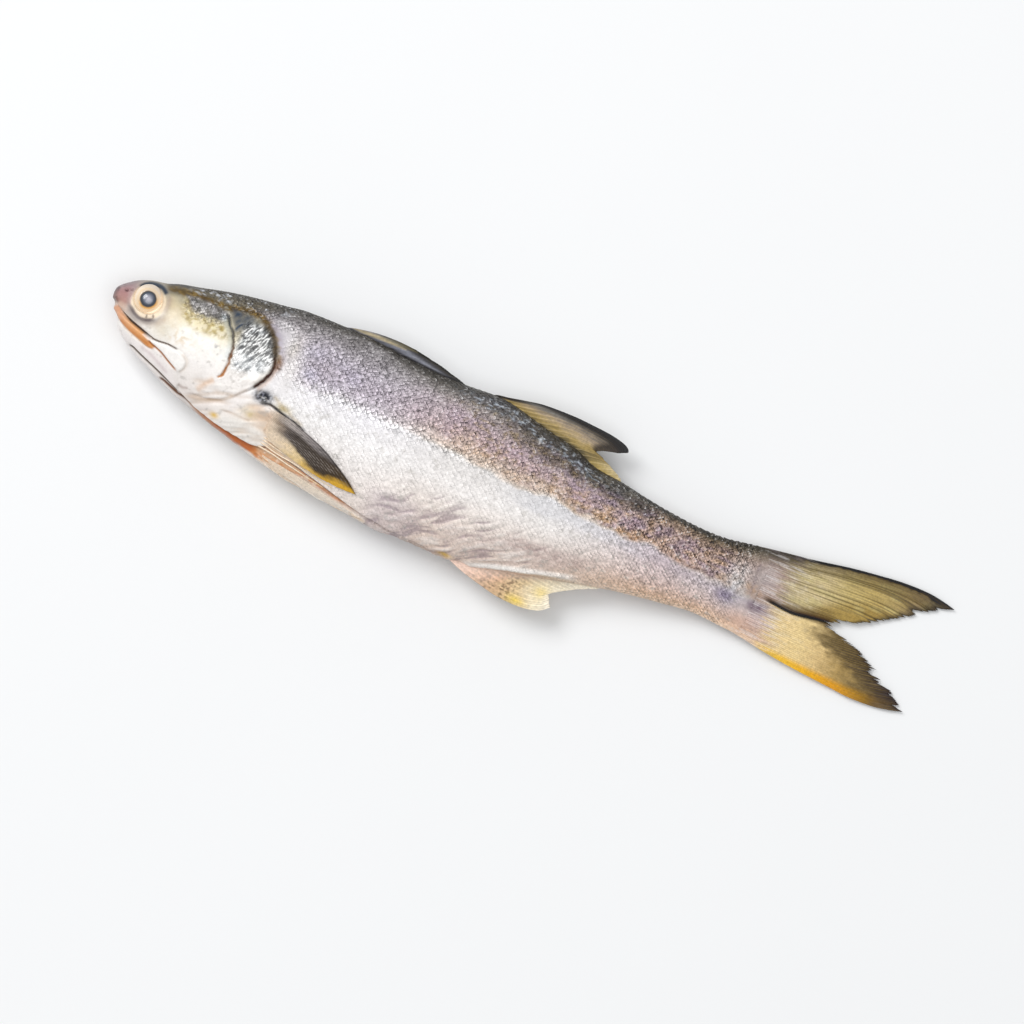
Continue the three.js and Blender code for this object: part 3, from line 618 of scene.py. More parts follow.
    # around the eye
    eu, ev, eru, erv = EYE_OPENING
    r = np.hypot((u - eu) / eru, (v - ev) / erv)
    angle = np.degrees(np.arctan2(v - ev, u - eu))
    p.over(ease(r, 1.12, 0.98), "f0dcc0")
    p.over(0.35 * np.exp(-(((r - 1.2) / 0.14) ** 2)), "b5aaa4")
    over = span(angle, 28, 52, 138, 162)
    under = span(angle, -168, -140, -38, -14)
    p.over(0.3 * over * np.exp(-(((r - 1.07) / 0.14) ** 2)), "8b8783")
    lid = [(6.6, 7.3), (7.3, 8.5), (8.8, 9.6), (10.6, 10.15), (12.2, 10.3), (13.8, 10), (16, 8.6)]
    p.line(1, lid, 0.8, "39424e", 0.06, 2)
    bag = [(5, 1.2), (6.9, -0.1), (8.5, -1.3), (10.4, -2), (12.5, -1.8), (14.4, -1), (16.2, 0.5)]
    p.line(0.55, bag, 1.3, "9a8c84", 0.25)
    p.line(0.97, bag, 0.6, "5a4d4c", 0.2, 2, by=1 + 0.12 * noise(u, v, 93))
    p.line(0.9, [(12.2, 0.3), (12.7, -1.4)], 0.32, "6d5a4c", 0.3, 2)
    p.line(0.9, [(14.2, 1.2), (14.9, -0.5)], 0.32, "6d5a4c", 0.3, 2)
    p.over(0.4 * under * np.exp(-(((r - 1.16) / 0.1) ** 2)), "8d8583")
    # mouth and jaws
    lip = ramp(u, [(1, "cf9c7e"), (4, "dba27c"), (7, "e0a878"), (12, "e3a468"), (18, "dc9655")])
    p.area(0.95, [*MOUTH[1:], *LIP_UNDER[::-1]], 0.45, lip)
    p.line(0.6, [(4, -4.6), (9, -6.6), (14, -8), (18, -8.9)], 0.6, "c9783a")
    p.line(0.35, [(5, -6), (10, -8), (16, -9.4)], 0.5, "f6dcc0", 0.2)
    p.line(1, [(3.6, -2.2), (5.1, -2.8), *MOUTH[3:]], 0.36, "33241a", 0.12, 2)
    p.area(0.95, MAXILLA, 0.5, "fefaf6")
    p.line(0.95, MAXILLA_UNDER, 0.4, "a9652c", 0.12, 2)
    p.line(1, [(15, -6.2), (19, -6.5), (23, -6.1), (27, -6.5)], 0.3, "4d3524", 0.12, 2)
    p.line(0.4, [(28, -6.8), (31, -8.8), (31, -11.6), (29.6, -13.2)], 0.5, "c9b5a0")
    chin = [(4.6, -8), (12, -9.6), (20, -10.6), (28, -14), (30, -18.4), (18, -14.4), (9, -11)]
    p.area(0.75, chin, 0.8, "fbf3f0")
    p.line(0.4, [(14, -10.2), (20, -12), (27, -15.4)], 0.6, "cdb9bb")
    p.line(1, JAW_EDGE, 0.32, "54402f", 0.06, 2)
    p.line(1, JAW_EDGE_FAR, 0.34, "6d4529", 0.06, 2)
    p.line(0.55, [(31, -16.8), (33, -17.2), (35, -16.6)], 0.5, "a58f86")
    # gill cover
    silver = patch(u, v, [(43.5, 12), (52, 12), (57, 5.5), (57.4, -0.5), (51, -4), (45, -3)], 1.6)
    fleck = noise((0.45 * u + 0.89 * v) / 2.3, (0.89 * u - 0.45 * v) / 0.62, 94, 2)
    p.over(0.9 * silver, ramp(fleck, [(-0.9, "7d8288"), (-0.4, "b3b6b9"), (0, "e3e5e6"), (0.4, "ffffff")]))
    p.area(0.9, [(37.5, 13.6), (46, 13.6), (43.5, 8.6), (42, 6)], 1.2, "3c4757", by=0.85 + 0.3 * fleck)
    p.line(0.75, [(49, 13), (52, 11.6), (55, 8.4), (57, 4)], 0.9, "4b4437")
    p.area(0.35, [(45, -4), (56, -4), (52, -9), (45, -8)], 1.6, "c5bcb6", by=ease(fleck, 0.3, -0.6))
    groove = ramp(v, [(-9, "c08046"), (-3, "8d5a2e"), (3, "4d3a26"), (8, "23252a")])
    p.over(0.99 * stroke(u + 0.3 * grain, v, PREOPERCLE, 0.5, 0.05, 2), groove)
    # Painted highlight along the front wall of the preopercle groove.
    p.line(0.3, [(35, 11.5), (38, 8), (40.6, 4.8), (42, 1), (42.6, -4)], 0.9, "a8bcc4")
    return p.line(0.5, [(42, -10.4), (40, -12.6), (37.6, -16.4)], 1.1, "dda873")


def paint_gill_edge(p):
    """Dark cleft along the free edge of the gill cover."""
    u, v = p.u, p.v
    p.line(0.55, OPERCLE[7:], 0.6, "c9b3a0")
    p.line(0.7, OPERCLE[:8], 1.0, "5d4a31", 0.1)
    ragged = u + 0.35 * noise(u / 1.1, v / 1.1, 80, 2)
    p.over(0.4 * stroke(ragged, v, [(58.8, 3), (59.2, 0), (58.4, -4), (55.6, -8.4)], 0.8), "b0794a")
    cleft = [(57, 5), (58.3, 1.7), (57.8, -2.3), (56.4, -5.2), (54.2, -8.4)]
    p.over(0.98 * stroke(ragged, v, cleft, 0.42, 0.1, 2), "43210f")
    p.line(0.97, [(58, 1.9), (59.6, 1.6), (61.2, 1.5)], 0.36, "3b2720", 0.25, 2)
    p.spot(0.85, (59.5, 3), (1.4, 2.6), "8a6a55", 1.4, by=0.8 + 0.4 * noise(u / 0.9, v / 0.9, 76))
    # Painted shade in the throat folds' troughs and along the crease below the gill cover, and painted
    # highlight on the folds' crests.
    folds = throat_folds(u, v)
    crease = stroke(u, v, [(50, -12.6), (46.5, -15.6), (41.5, -17.6)], 0.5)
    p.over(0.5 * (np.clip(-1.2 * folds, 0, 1) + crease), "cdb39a")
    return p.over(0.4 * np.clip(folds, 0, 1), "fbf6f0")


def silver_cover(u, v):
    """The gill cover's bare silver, scratched with fine dark strokes."""
    upper = patch(u, v, [(43.5, 12), (52, 12), (57, 5.5), (57.4, 0), (51, -3), (45, -2)], 1.6)
    return upper * (0.35 + 0.65 * ease(v, -2, 5))


def body_colours(u, v, g, side):
    p = Paint(u, v, flank_colours(u, v, g))
    paint_flank(p)
    paint_head(p, g)
    whole = paint_gill_edge(p)
    opened = paint_slit(p)
    colours = np.where((side > 0)[..., None], opened, whole)
    return np.clip(colours * (1 + 0.035 * noise(u / 1.7, v / 1.7, 99, 2))[..., None], 0, 1)


# ---- Meshes ----


def to_frame(points):
    """Fish axes in millimetres to the row frame in metres."""
    p = np.asarray(points, float).reshape(-1, 3)
    return np.stack([X_ZERO + p[:, 0] * MM, Y_ZERO + p[:, 1] * MM, p[:, 2] * MM], -1)


def add_piece(node, material, points, faces, tint, traits):
    """Mesh object in a node's place, with its colours and its trait vector stored at its points."""
    mesh = bpy.data.meshes.new(f"threadfin_{node}")
    mesh.from_pydata(to_frame(points).tolist(), [], [tuple(f) for f in faces])
    rgba = tint.reshape(len(mesh.vertices), -1)
    if rgba.shape[1] == 3:
        rgba = np.concatenate([rgba, np.ones((len(rgba), 1))], 1)
    stored = mesh.attributes.new("tint", "FLOAT_COLOR", "POINT").data
    stored.foreach_set("color", rgba.astype(np.float32).ravel())
    stored = mesh.attributes.new("trait", "FLOAT_VECTOR", "POINT").data
    stored.foreach_set("vector", np.asarray(traits, np.float32).ravel())
    mesh.polygons.foreach_set("use_smooth", np.ones(len(mesh.polygons), bool))
    mesh.materials.append(material)
    mesh.update()
    piece = bpy.data.objects.new(f"threadfin_{node}", mesh)
    bpy.context.scene.collection.objects.link(piece)
    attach(piece, "root")
    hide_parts(node)
    return piece


def close_shells(piece, merge=0):
    """Joins points nearer than merge metres, and turns every shell's faces to look out."""
    shell = bmesh.new()
    shell.from_mesh(piece.data)
    if merge:
        bmesh.ops.remove_doubles(shell, verts=shell.verts, dist=merge)
    bmesh.ops.recalc_face_normals(shell, faces=shell.faces)
    shell.to_mesh(piece.data)
    shell.free()


def quads(rows, columns, first=0, wrap=False, flip=False):
    """Faces of a grid of points stored row by row."""
    i, j = np.meshgrid(np.arange(rows - 1), np.arange(columns if wrap else columns - 1), indexing="ij")
    k = (j + 1) % columns
    f = np.stack([i * columns + j, (i + 1) * columns + j, (i + 1) * columns + k, i * columns + k], -1)
    f = f.reshape(-1, 4) + first
    return f[:, ::-1] if flip else f


def make_body(material):
    points, g, side = body_grid()
    u, v = points[..., 0].copy(), points[..., 1].copy()
    normals = body_normals(points)
    if (normals[..., 2] * side).mean() < 0:
        normals = -normals
    height = relief(u, v, g, side)
    height = height * ease(u, SNOUT_U - 0.05, SNOUT_U + 1.6) * (1 - 0.6 * ease(u, 232, 237))
    moved = points + normals * height[..., None]
    under_fin = patch(u, v, PECTORAL_AREA, 0.8) * (side < 0)
    lowest = 0.03 + 1.25 * under_fin
    moved[..., 2] = np.where(side < 0, np.maximum(moved[..., 2], lowest), moved[..., 2])
    ulat, vlat = lattice(u, g)
    traits = np.stack([ulat, vlat, scaliness(u, v)], -1)
    tint = np.concatenate([body_colours(u, v, g, side), silver_cover(u, v)[..., None]], -1)
    rows, columns = u.shape
    tips = np.stack([moved[0].mean(0), moved[-1].mean(0)])
    tips[0, 0] = SNOUT_U
    tips[1, 0] = END_U
    faces = quads(rows, columns, wrap=True).tolist()
    first, last = rows * columns, rows * columns + 1
    for j in range(columns):
        k = (j + 1) % columns
        faces.append((first, j, k))
        faces.append((last, (rows - 1) * columns + k, (rows - 1) * columns + j))
    all_points = np.concatenate([moved.reshape(-1, 3), tips])
    all_tint = np.concatenate([tint.reshape(-1, 4), tint[0].mean(0)[None], tint[-1].mean(0)[None]])
    all_traits = np.concatenate([traits.reshape(-1, 3), np.zeros((2, 3))])
    add_piece("body", material, all_points, faces, all_tint, all_traits)


# ---- Materials ----


class Value:
    """A node's output, which can be calculated with."""

    def __init__(self, graph, socket):
        self.graph, self.socket = graph, socket

    def __add__(self, other):
        return self.graph.math("ADD", self, other)

    def __sub__(self, other):
        return self.graph.math("SUBTRACT", self, other)

    def __rsub__(self, other):
        return self.graph.math("SUBTRACT", other, self)

    def __mul__(self, other):
        return self.graph.math("MULTIPLY", self, other)

    def __mod__(self, other):
        return self.graph.math("FLOORED_MODULO", self, other)

    __radd__ = __add__
    __rmul__ = __mul__


class Graph:
    """Short way of writing a node material."""

    def __init__(self, name):
        self.material = bpy.data.materials.new(name)
        self.material.use_nodes = True
        self.tree = self.material.node_tree
        self.shader = self.tree.nodes["Principled BSDF"]

    def add(self, kind, **settings):
        node = self.tree.nodes.new(kind)
        for key, value in settings.items():
            setattr(node, key, value)
        return node

    def feed(self, socket, value):
        if isinstance(value, Value):
            self.tree.links.new(value.socket, socket)
        else:
            socket.default_value = value

    def run(self, node, output=0, **inputs):
        """Feeds a node's inputs by name and gives one output."""
        for name, value in inputs.items():
            self.feed(node.inputs[name.replace("_", " ")], value)
        return Value(self, node.outputs[output])

    def apply(self, kind, operation, *values):
        node = self.add(kind, operation=operation)
        for socket, value in zip(node.inputs, values):
            self.feed(socket, value)
        return Value(self, node.outputs[0])

    def math(self, operation, *values):
        return self.apply("ShaderNodeMath", operation, *values)

    def vector_math(self, operation, *values):
        return self.apply("ShaderNodeVectorMath", operation, *values)

    def soft(self, value, low, high):
        """0 at low, 1 at high, smooth between. low may be above high."""
        node = self.add("ShaderNodeMapRange", interpolation_type="SMOOTHSTEP")
        ends = (0, 1) if low < high else (1, 0)
        return self.run(node, Value=value, From_Min=min(low, high), From_Max=max(low, high),
                        To_Min=ends[0], To_Max=ends[1])

    def tint(self):
        """The painted colour, and what its alpha holds."""
        node = self.add("ShaderNodeAttribute", attribute_name="tint")
        return Value(self, node.outputs["Color"]), Value(self, node.outputs["Alpha"])

    def trait(self):
        """The three numbers of the trait vector."""
        stored = self.add("ShaderNodeAttribute", attribute_name="trait").outputs["Vector"]
        node = self.add("ShaderNodeSeparateXYZ")
        self.feed(node.inputs[0], Value(self, stored))
        return [Value(self, output) for output in node.outputs]

    def noise(self, scale, detail=2.0, angle=0, length=1):
        """Noise at so many features a metre, in the object's own space, drawn out at an angle in plan."""
        place = Value(self, self.add("ShaderNodeTexCoord").outputs["Object"])
        mapping = self.add("ShaderNodeMapping", vector_type="TEXTURE")
        turned = self.run(mapping, Vector=place, Rotation=(0, 0, math.radians(angle)),
                          Scale=(length, 1, length))
        return self.run(self.add("ShaderNodeTexNoise"), "Fac", Vector=turned, Scale=scale, Detail=detail)

    def scaled(self, colour, factor):
        node = self.add("ShaderNodeVectorMath", operation="SCALE")
        self.feed(node.inputs[0], colour)
        self.feed(node.inputs["Scale"], factor)
        return Value(self, node.outputs[0])

    def less(self, colour, amount):
        """Takes a little off a colour for what its shine adds back."""
        lower = self.vector_math("SUBTRACT", colour, (amount,) * 3)
        return self.vector_math("MAXIMUM", lower, (DARKEST,) * 3)

    def mix(self, factor, a, b):
        return self.run(self.add("ShaderNodeMix", data_type="RGBA"), "Result", Factor=factor, A=a, B=b)

    def ramp(self, value, stops):
        node = self.add("ShaderNodeValToRGB")
        elements = node.color_ramp.elements
        for i, (at, code) in enumerate(stops):
            element = elements[i] if i < 2 else elements.new(at)
            element.position = at
            element.color = (*rgb(code), 1)
        return self.run(node, Fac=value)

    def bump(self, height, distance, strength):
        return self.run(self.add("ShaderNodeBump"), Strength=strength, Distance=distance, Height=height)

    def finish(self, **sockets):
        self.run(self.shader, **sockets)
        return self.material


def scale_rows(graph, u, v):
    """Rim, gap and rise of overlapping scales at lattice place (u, v), and each scale's own chance."""
    row = graph.math("FLOOR", v)
    t = v - row
    odd = row % 2
    behind, number = [], []
    for share, parity in ((t, odd), (1 - t, 1 - odd)):
        run = u - parity - 0.92 * (1 - share * share)
        behind.append(run % 2)
        number.append(graph.math("FLOOR", run * 0.5))
    since = graph.math("MINIMUM", *behind)
    ahead = graph.math("MINIMUM", 2 - behind[0], 2 - behind[1])
    first = graph.math("GREATER_THAN", *behind)
    cell = graph.run(graph.add("ShaderNodeCombineXYZ"), X=number[1] + first * (number[0] - number[1]),
                     Y=row + (1 - first))
    chance = graph.run(graph.add("ShaderNodeTexWhiteNoise", noise_dimensions="2D"), "Value", Vector=cell)
    return graph.soft(ahead, 0.62, 0.05), graph.soft(since, 0.36, 0.02), graph.soft(since, 0.0, 1.1), chance


def skin_material():
    graph = Graph("threadfin_skin")
    tint, silver = graph.tint()
    u, v, scaly = graph.trait()
    rim, gap, rise, chance = scale_rows(graph, u, v)
    cloud, grain, fine = graph.noise(420, 3.0), graph.noise(1150, 3.0), graph.noise(2800)
    uneven = scaly * (0.25 + 1.5 * graph.soft(cloud, 0.35, 0.66))
    speckle = 1.3 * (grain - 0.5) + 0.7 * (fine - 0.5)
    coarse = scaly * (0.9 + 1.2 * graph.math("MINIMUM", scaly, 0.9))
    # Painted light on the scales: each rear rim is lightened as a painted highlight, the gap before it
    # darkened as painted shade, and near-white glints are painted on some rims.
    factor = 0.96 + uneven * (0.38 * rim - 0.6 * gap)
    factor = factor + 0.5 * scaly * (chance - 0.5) + speckle * (0.15 + coarse)
    scratches = graph.soft(graph.noise(1900, angle=62, length=3.4), 0.44, 0.58)
    factor = factor * (1 - 0.82 * silver * (1 - scratches))
    colour = graph.scaled(tint, graph.math("MAXIMUM", factor, 0.12))
    glint = rim * scaly * graph.soft(chance, 0.55, 1.0) * graph.soft(grain, 0.42, 0.62)
    colour = graph.mix(0.62 * glint, colour, (0.8, 0.79, 0.8, 1))
    height = uneven * (rise - 0.7 * gap) + 0.45 * graph.noise(900, 3.0)
    return graph.finish(
        Base_Color=graph.less(colour, SHINE), Roughness=0.34 + 0.22 * cloud - 0.1 * rim * scaly,
        Normal=graph.bump(height, 0.00022, 0.8), Metallic=0.05, Coat_Weight=0.09, Coat_Roughness=0.2,
        Specular_IOR_Level=0.36,
    )


def fin_material(name, ridge):
    """Membrane with bony rays: the trait holds rays across, rays' length in millimetres, and thinness."""
    graph = Graph(name)
    tint = graph.tint()[0]
    across, out, thin = graph.trait()
    wave = graph.math("COSINE", across * (2 * math.pi))
    branch = graph.math("COSINE", across * (4 * math.pi))
    wave = wave * (1 - thin * 0.6) + branch * (thin * 0.6)
    joints = graph.soft(graph.math("COSINE", out * (2 * math.pi / RAY_JOINT)), 0.55, 1.0)
    grain = graph.noise(1300, 3.0)
    clear = graph.soft(out, 1.0, 7.0)
    factor = 1.0 + 0.14 * clear * wave - 0.1 * (joints * clear * graph.soft(wave, -0.2, 0.8))
    factor = factor + 0.8 * (grain - 0.5)
    return graph.finish(
        Base_Color=graph.less(graph.scaled(tint, factor), SHINE), Roughness=0.3 + 0.25 * grain,
        Normal=graph.bump(0.5 * wave + 0.3 * grain, 0.00012, ridge), Coat_Weight=0.06, Coat_Roughness=0.25,
        Specular_IOR_Level=0.32,
    )


def eye_material():
    """Cloudy pupil, golden ring and cream iris. The trait holds the place on the eyeball, 1 at its rim."""
    graph = Graph("threadfin_eye")
    x, y, _ = graph.trait()
    r = graph.math("SQRT", x * x + y * y) + 0.06 * (graph.noise(700) - 0.5)
    golden, pale = (
        graph.ramp(r, [(0, "a9a8b2"), (0.12, "9c9ba6"), (0.28, "6a6e7c"), (0.4, "3d4552"), (0.485, "2b323c"),
                       (0.53, "7d6a55"), (0.58, ring), (0.7, "ecd2ae"), (0.82, "ecdac4"), (0.92, "ead6bc"),
                       (1, "e2cbb0")])
        for ring in ("dfa24a", "d8c5ae")
    )
    colour = graph.mix(graph.soft(y - 0.5 * x, 0.2, -0.45), pale, golden)
    upper = graph.soft(y, 0.45, 0.9) * graph.soft(r, 0.5, 0.62)
    colour = graph.mix(0.25 * upper, colour, (*rgb("8f8680"), 1))
    return graph.finish(
        Base_Color=graph.scaled(colour, 0.9 + 0.2 * graph.noise(2500)), Roughness=0.3, Coat_Weight=1.0,
        Coat_Roughness=0.06, Normal=graph.bump(graph.noise(1800), 0.00004, 0.5),
    )


# ---- Fins ----


def sheet(root, margin, lead, trail, rays, height, colour, fray, lengthwise, per_ray, thick, seed):
    """One membrane between four edges. Its rays run from the root to the margin.

    Gives the points of its middle surface, half its thickness, its colours and its traits.
    """
    columns = int(rays * per_ray) + 1
    t = np.linspace(0, 1, columns)
    b = np.linspace(0, 1, lengthwise) ** 0.9
    tt, s = np.meshgrid(t, b, indexing="ij")
    start, end, first, last = along(root, t), along(margin, t), along(lead, b), along(trail, b)
    length = np.hypot(end[:, 0] - start[:, 0], end[:, 1] - start[:, 1])[:, None]
    uv = []
    for k in range(2):
        spanned = start[:, None, k] * (1 - s) + end[:, None, k] * s
        from_lead = first[None, :, k] - (start[0, k] * (1 - s) + end[0, k] * s)
        from_trail = last[None, :, k] - (start[-1, k] * (1 - s) + end[-1, k] * s)
        uv.append(spanned + (1 - tt) ** 1.6 * from_lead + tt**2.2 * from_trail)
    ragged = np.abs(np.cos(0.55 * np.pi * rays * t + 2.2 * noise(t * rays * 0.4, 0 * t, seed))) ** 0.8
    fine = np.abs(np.cos(2 * np.pi * rays * t + 2 * noise(t * rays * 0.9, 0 * t, seed + 3)))
    ragged = 1 - (1 - ragged) * (1 + noise(t * rays * 0.8, 0 * t, seed + 1)) - 0.45 * (1 - fine)
    tear = ease(noise(t * rays * 0.4, 0 * t + 5, seed + 2), 0.45, 0.9)
    cut = fray * ((1 - ragged) + 1.4 * tear) * ease(t, 0.0, 0.1) / np.maximum(length[:, 0], 1)
    kept = 1 - cut[:, None] * s**6
    u = start[:, None, 0] + (uv[0] - start[:, None, 0]) * kept
    v = start[:, None, 1] + (uv[1] - start[:, None, 1]) * kept
    z = height(u, v, tt, s)
    ray = np.cos(2 * np.pi * rays * tt) * (1 - 0.7 * s) + 0.6 * np.cos(4 * np.pi * rays * tt) * s
    z = z + 0.07 * (1 - s) ** 0.5 * ray + 0.3 * s * noise(u / 7, v / 4, seed + 4)
    edge = np.minimum.reduce([ease(tt, 0, 0.012), ease(tt, 1, 0.988), ease(s, 1, 0.93)])
    half = (thick[0] * (1 - s) + thick[1] * s) / 2 * (0.35 + 0.65 * edge)
    tint = np.clip(colour(u, v, tt, s, ray), 0, 1)
    traits = np.stack([rays * tt, s * length, s], -1)
    return u, v, z, half, tint, traits


def make_fin(node, slot, material, *sheets):
    """One fin of closed membranes."""
    points, faces, tints, traits = [], [], [], []
    first = 0
    for u, v, z, half, tint, trait in sheets:
        rows, columns = u.shape
        size = rows * columns
        for face in (1, -1):
            points.append(np.stack([u, v, z + face * half], -1).reshape(-1, 3))
            tints.append(tint.reshape(-1, 3))
            traits.append(trait.reshape(-1, 3))
        faces += quads(rows, columns, first).tolist()
        faces += quads(rows, columns, first + size, flip=True).tolist()
        grid = np.arange(size).reshape(rows, columns) + first
        rim = np.concatenate([grid[0], grid[1:, -1], grid[-1, -2::-1], grid[-2:0:-1, 0]])
        following = np.roll(rim, -1)
        faces += np.stack([rim, following, following + size, rim + size], -1).tolist()
        first += 2 * size
    points, tints, traits = (np.concatenate(part) for part in (points, tints, traits))
    close_shells(add_piece(node, material, points, faces, tints, traits))


def in_median(u, v, t, s):
    return median(u)


def tail_height(lift):
    def height(u, v, t, s):
        share = np.clip((u - 225) / (TAIL_TIP_U - 225), 0, 1)
        z = TAIL_ROOT_RISE + (TAIL_TIP_RISE - TAIL_ROOT_RISE) * np.sin(share * np.pi / 2)
        return z + lift * ease(u, 237, 248) * ease(np.abs(v + 1), 9, 0) * (1 - 0.5 * s)

    return height


def trunk_skin(u, v):
    return paint_flank(Paint(u, v, flank_colours(u, v)))


def tail_root(p, where):
    """Skin colours carried a little way onto the tail fin, so the two meet without a line."""
    u, v = p.u, p.v
    p.over(ease(u + 3 * noise(u / 7, v / 0.7, 205, 2), where + 5, where - 3), trunk_skin(u, v))
    lines = noise(u / 5, v / 0.45, 209, 2)
    root = span(u, 231, 236, 244, 254)
    p.over(0.45 * root * ease(lines, 0.1, 0.7), "e4dedd")
    return p.over(0.35 * root * ease(lines, -0.1, -0.7), "80767c")


def tail_upper_colours(u, v, t, s, ray):
    grain = noise(u / 2.2, v / 0.9, 201, 2)
    p = Paint(u, v, ramp(u + 2 * grain, [
        (230, "b5a99f"), (240, "c2b39c"), (248, "d0bf94"), (256, "d4c193"), (264, "cbb67a"), (272, "c2aa6a"),
        (280, "bea66c"), (288, "a58e66"), (298, "564539"),
    ]))
    amber = ease(v - np.interp(u, [250, 262, 275], [1, 7, 12]), 1.5, -3.5) * ease(u, 250, 260)
    p.over(0.75 * amber, "a0823f")
    p.over(0.3 * ease(ray, 0.2, -1), "7d6a3f")
    p.over(0.5 * ease(grain, 0.1, 0.9) * ease(u, 264, 246), "ddd3bf")
    p.over(0.4 * ease(noise(u / 5, v / 2, 204), 0.1, 0.6) * ease(u, 240, 250), "c9bb80")
    p.over(0.78 * ease(t, 0.34, 0.04) * ease(u, 232, 246), "54462f")
    p.over(0.7 * flecks(t * 40, s * 1.5, 206, 0.0, 0.8) * ease(s, 0.05, 0.3), "5f4f2b")
    p.over(0.5 * flecks(u / 7, v / 0.45, 207, 0.0, 0.7) * ease(t, 0.5, 0.2), "6d5c3c")
    p.over(0.97 * ease(t + 0.02 * noise(u / 0.8, v, 208), 0.085, 0.04), "1b1918")
    p.over(0.85 * ease(s, 0.93, 1.0), "332c24")
    p.over(0.5 * ease(noise(t * 60, s * 2, 203), 0.1, 0.7) * ease(s, 0.4, 0.95), "4e4232")
    p.over(0.6 * ease(t, 0.74, 0.95) * ease(u, 268, 256), "5d4a30")
    # Painted shadow along the fold where the upper lobe lies over the lower one: a wide soft band, then a
    # near-black line.
    shadow_line, _ = reach(u, v, [(236.5, -1.5), (244, -2.2), (250, -2.5), (256, -1.5), (262, -0.6)])
    p.over(0.7 * np.exp(-((shadow_line / 2.6) ** 2)) * span(u, 246, 254, 262, 268), "55401f")
    tail_root(p, 243)
    p.over(0.6 * np.exp(-((shadow_line / 1.5) ** 2)) * span(u, 237, 242, 260, 266), "6d4f33")
    return p.over(0.98 * np.exp(-((shadow_line / 1.0) ** 2)) * span(u, 238, 243, 262, 268), "17110e")


def tail_lower_colours(u, v, t, s, ray):
    grain = noise(u / 2.4, v / 1.0, 211, 2)
    p = Paint(u, v, ramp(u + 2 * grain, [
        (230, "d3afa0"), (238, "e0bfa0"), (246, "f0d6a2"), (256, "efd59c"), (264, "dcbf88"), (272, "ae925c"),
        (280, "7a6742"), (290, "584732"), (298, "3c3126"),
    ]))
    p.over(0.3 * ease(ray, 0.2, -1), "a3803f")
    p.over(0.35 * ease(grain, 0.1, 0.9) * ease(u, 268, 250), "f2e2bd")
    border = 252 + 24 * ease(t, 0.3, 0.9)
    shade = ease(u + 3 * grain - border, 2, 15) * ease(t, 0.97, 0.86)
    p.over(0.88 * shade, ramp(u, [(258, "5a4a2c"), (275, "473a29"), (292, "392d25")]))
    p.over(0.55 * shade * ease(ray, 0.1, 0.9) * ease(u, 296, 276), "957f4c")
    gold = ease(t, 0.84, 0.95) * ease(u, 293, 279)
    p.over(0.92 * gold, ramp(u, [
        (232, "d5a78a"), (241, "eccb7c"), (250, "eec03c"), (262, "ecae00"), (272, "de9a00"), (280, "b98608"),
        (288, "7f5c1c"),
    ]))
    p.over(0.8 * ease(s, 0.94, 1.0), "33291f")
    # Painted shadow of the upper lobe along the lower lobe's top edge by the fork.
    p.over(0.75 * ease(t, 0.16, 0.02) * span(u, 240, 250, 262, 268), "4a3b2c")
    return tail_root(p, 243)


def make_tail(material):
    upper = sheet(
        [(229, 12.3), (233.5, 9.5), (236, 4), (235, -2)],
        [(299.4, 20.8), (296, 19.3), (290.9, 15.8), (286.5, 12.4), (280.5, 8.5), (276, 5.5), (270, 2.4),
         (265, 0.4), (261.6, -0.8)],
        [(229, 12.6), (231.4, 13.5), (241.7, 15.4), (250.3, 16.9), (261.5, 19.3), (271.9, 21), (280.5, 22.1),
         (289.1, 22.4), (295.2, 21.7), (299.4, 20.8)],
        [(235, -2), (243, -2.6), (250, -2.9), (256, -1.9), (261.6, -0.8)],
        30, tail_height(0.9), tail_upper_colours, fray=2.0,
        lengthwise=62, per_ray=12, thick=(0.9, 0.14), seed=301)
    lower = sheet(
        [(234, -0.4), (236, -5), (235, -11), (229, -15.6)],
        [(262.5, -0.7), (267.6, -1.8), (272.8, -3.7), (277.5, -5.4), (281.5, -7.5), (285, -8.8), (284.6, -10),
         (287.6, -10.9), (291.7, -13.2), (296, -16.2), (298.4, -17.7)],
        [(234, -0.4), (243, -1.4), (252, -1.5), (258, -0.8), (262.5, -0.7)],
        [(229, -16), (238.3, -17.1), (246, -18.2), (254.7, -19.1), (263.3, -19.7), (271.9, -20.2),
         (278.8, -20.6), (287.4, -20.1), (293.4, -19), (298.4, -17.7)],
        30, tail_height(-0.6), tail_lower_colours, fray=2.2,
        lengthwise=62, per_ray=12, thick=(0.9, 0.14), seed=311)
    make_fin("caudal_fin", "yellow_fin", material, upper, lower)


def dorsal_colours(u, v, t, s, ray):
    grain = noise(u / 2.5, v / 0.8, 221, 2)
    over = v - np.interp(u, [134, 150, 165, 172], [23.6, 22.6, 20.4, 19.6])
    p = Paint(u, v, ramp(over + 0.8 * grain, [
        (-3, "5c5238"), (-0.8, "a58e58"), (0.6, "b49e76"), (2, "a89680"), (3.6, "7d746a"), (5.4, "4c4742"),
    ]))
    p.over(0.4 * ease(ray, 0.3, 1), "b3a07c")
    p.over(0.3 * ease(ray, -0.3, -1), "3c362e")
    p.over(0.95 * ease(t, 0.09, 0.03), "1f1e1e")
    p.over(0.9 * ease(s, 0.8, 0.95) * ease(t, 0.66, 0.5), "2b2522")
    p.over(0.85 * ease(t, 0.2, 0.08) * ease(u, 140, 150), "2a2828")
    rear = ease(t, 0.66, 0.76)
    p.over(0.9 * rear, ramp(s + 0.15 * ray, [(0, "6f5f38"), (0.4, "b39b5e"), (1, "d3c196")]))
    return p.spot(0.55, (148, 25.6), (8, 0.7), "8f8c86")


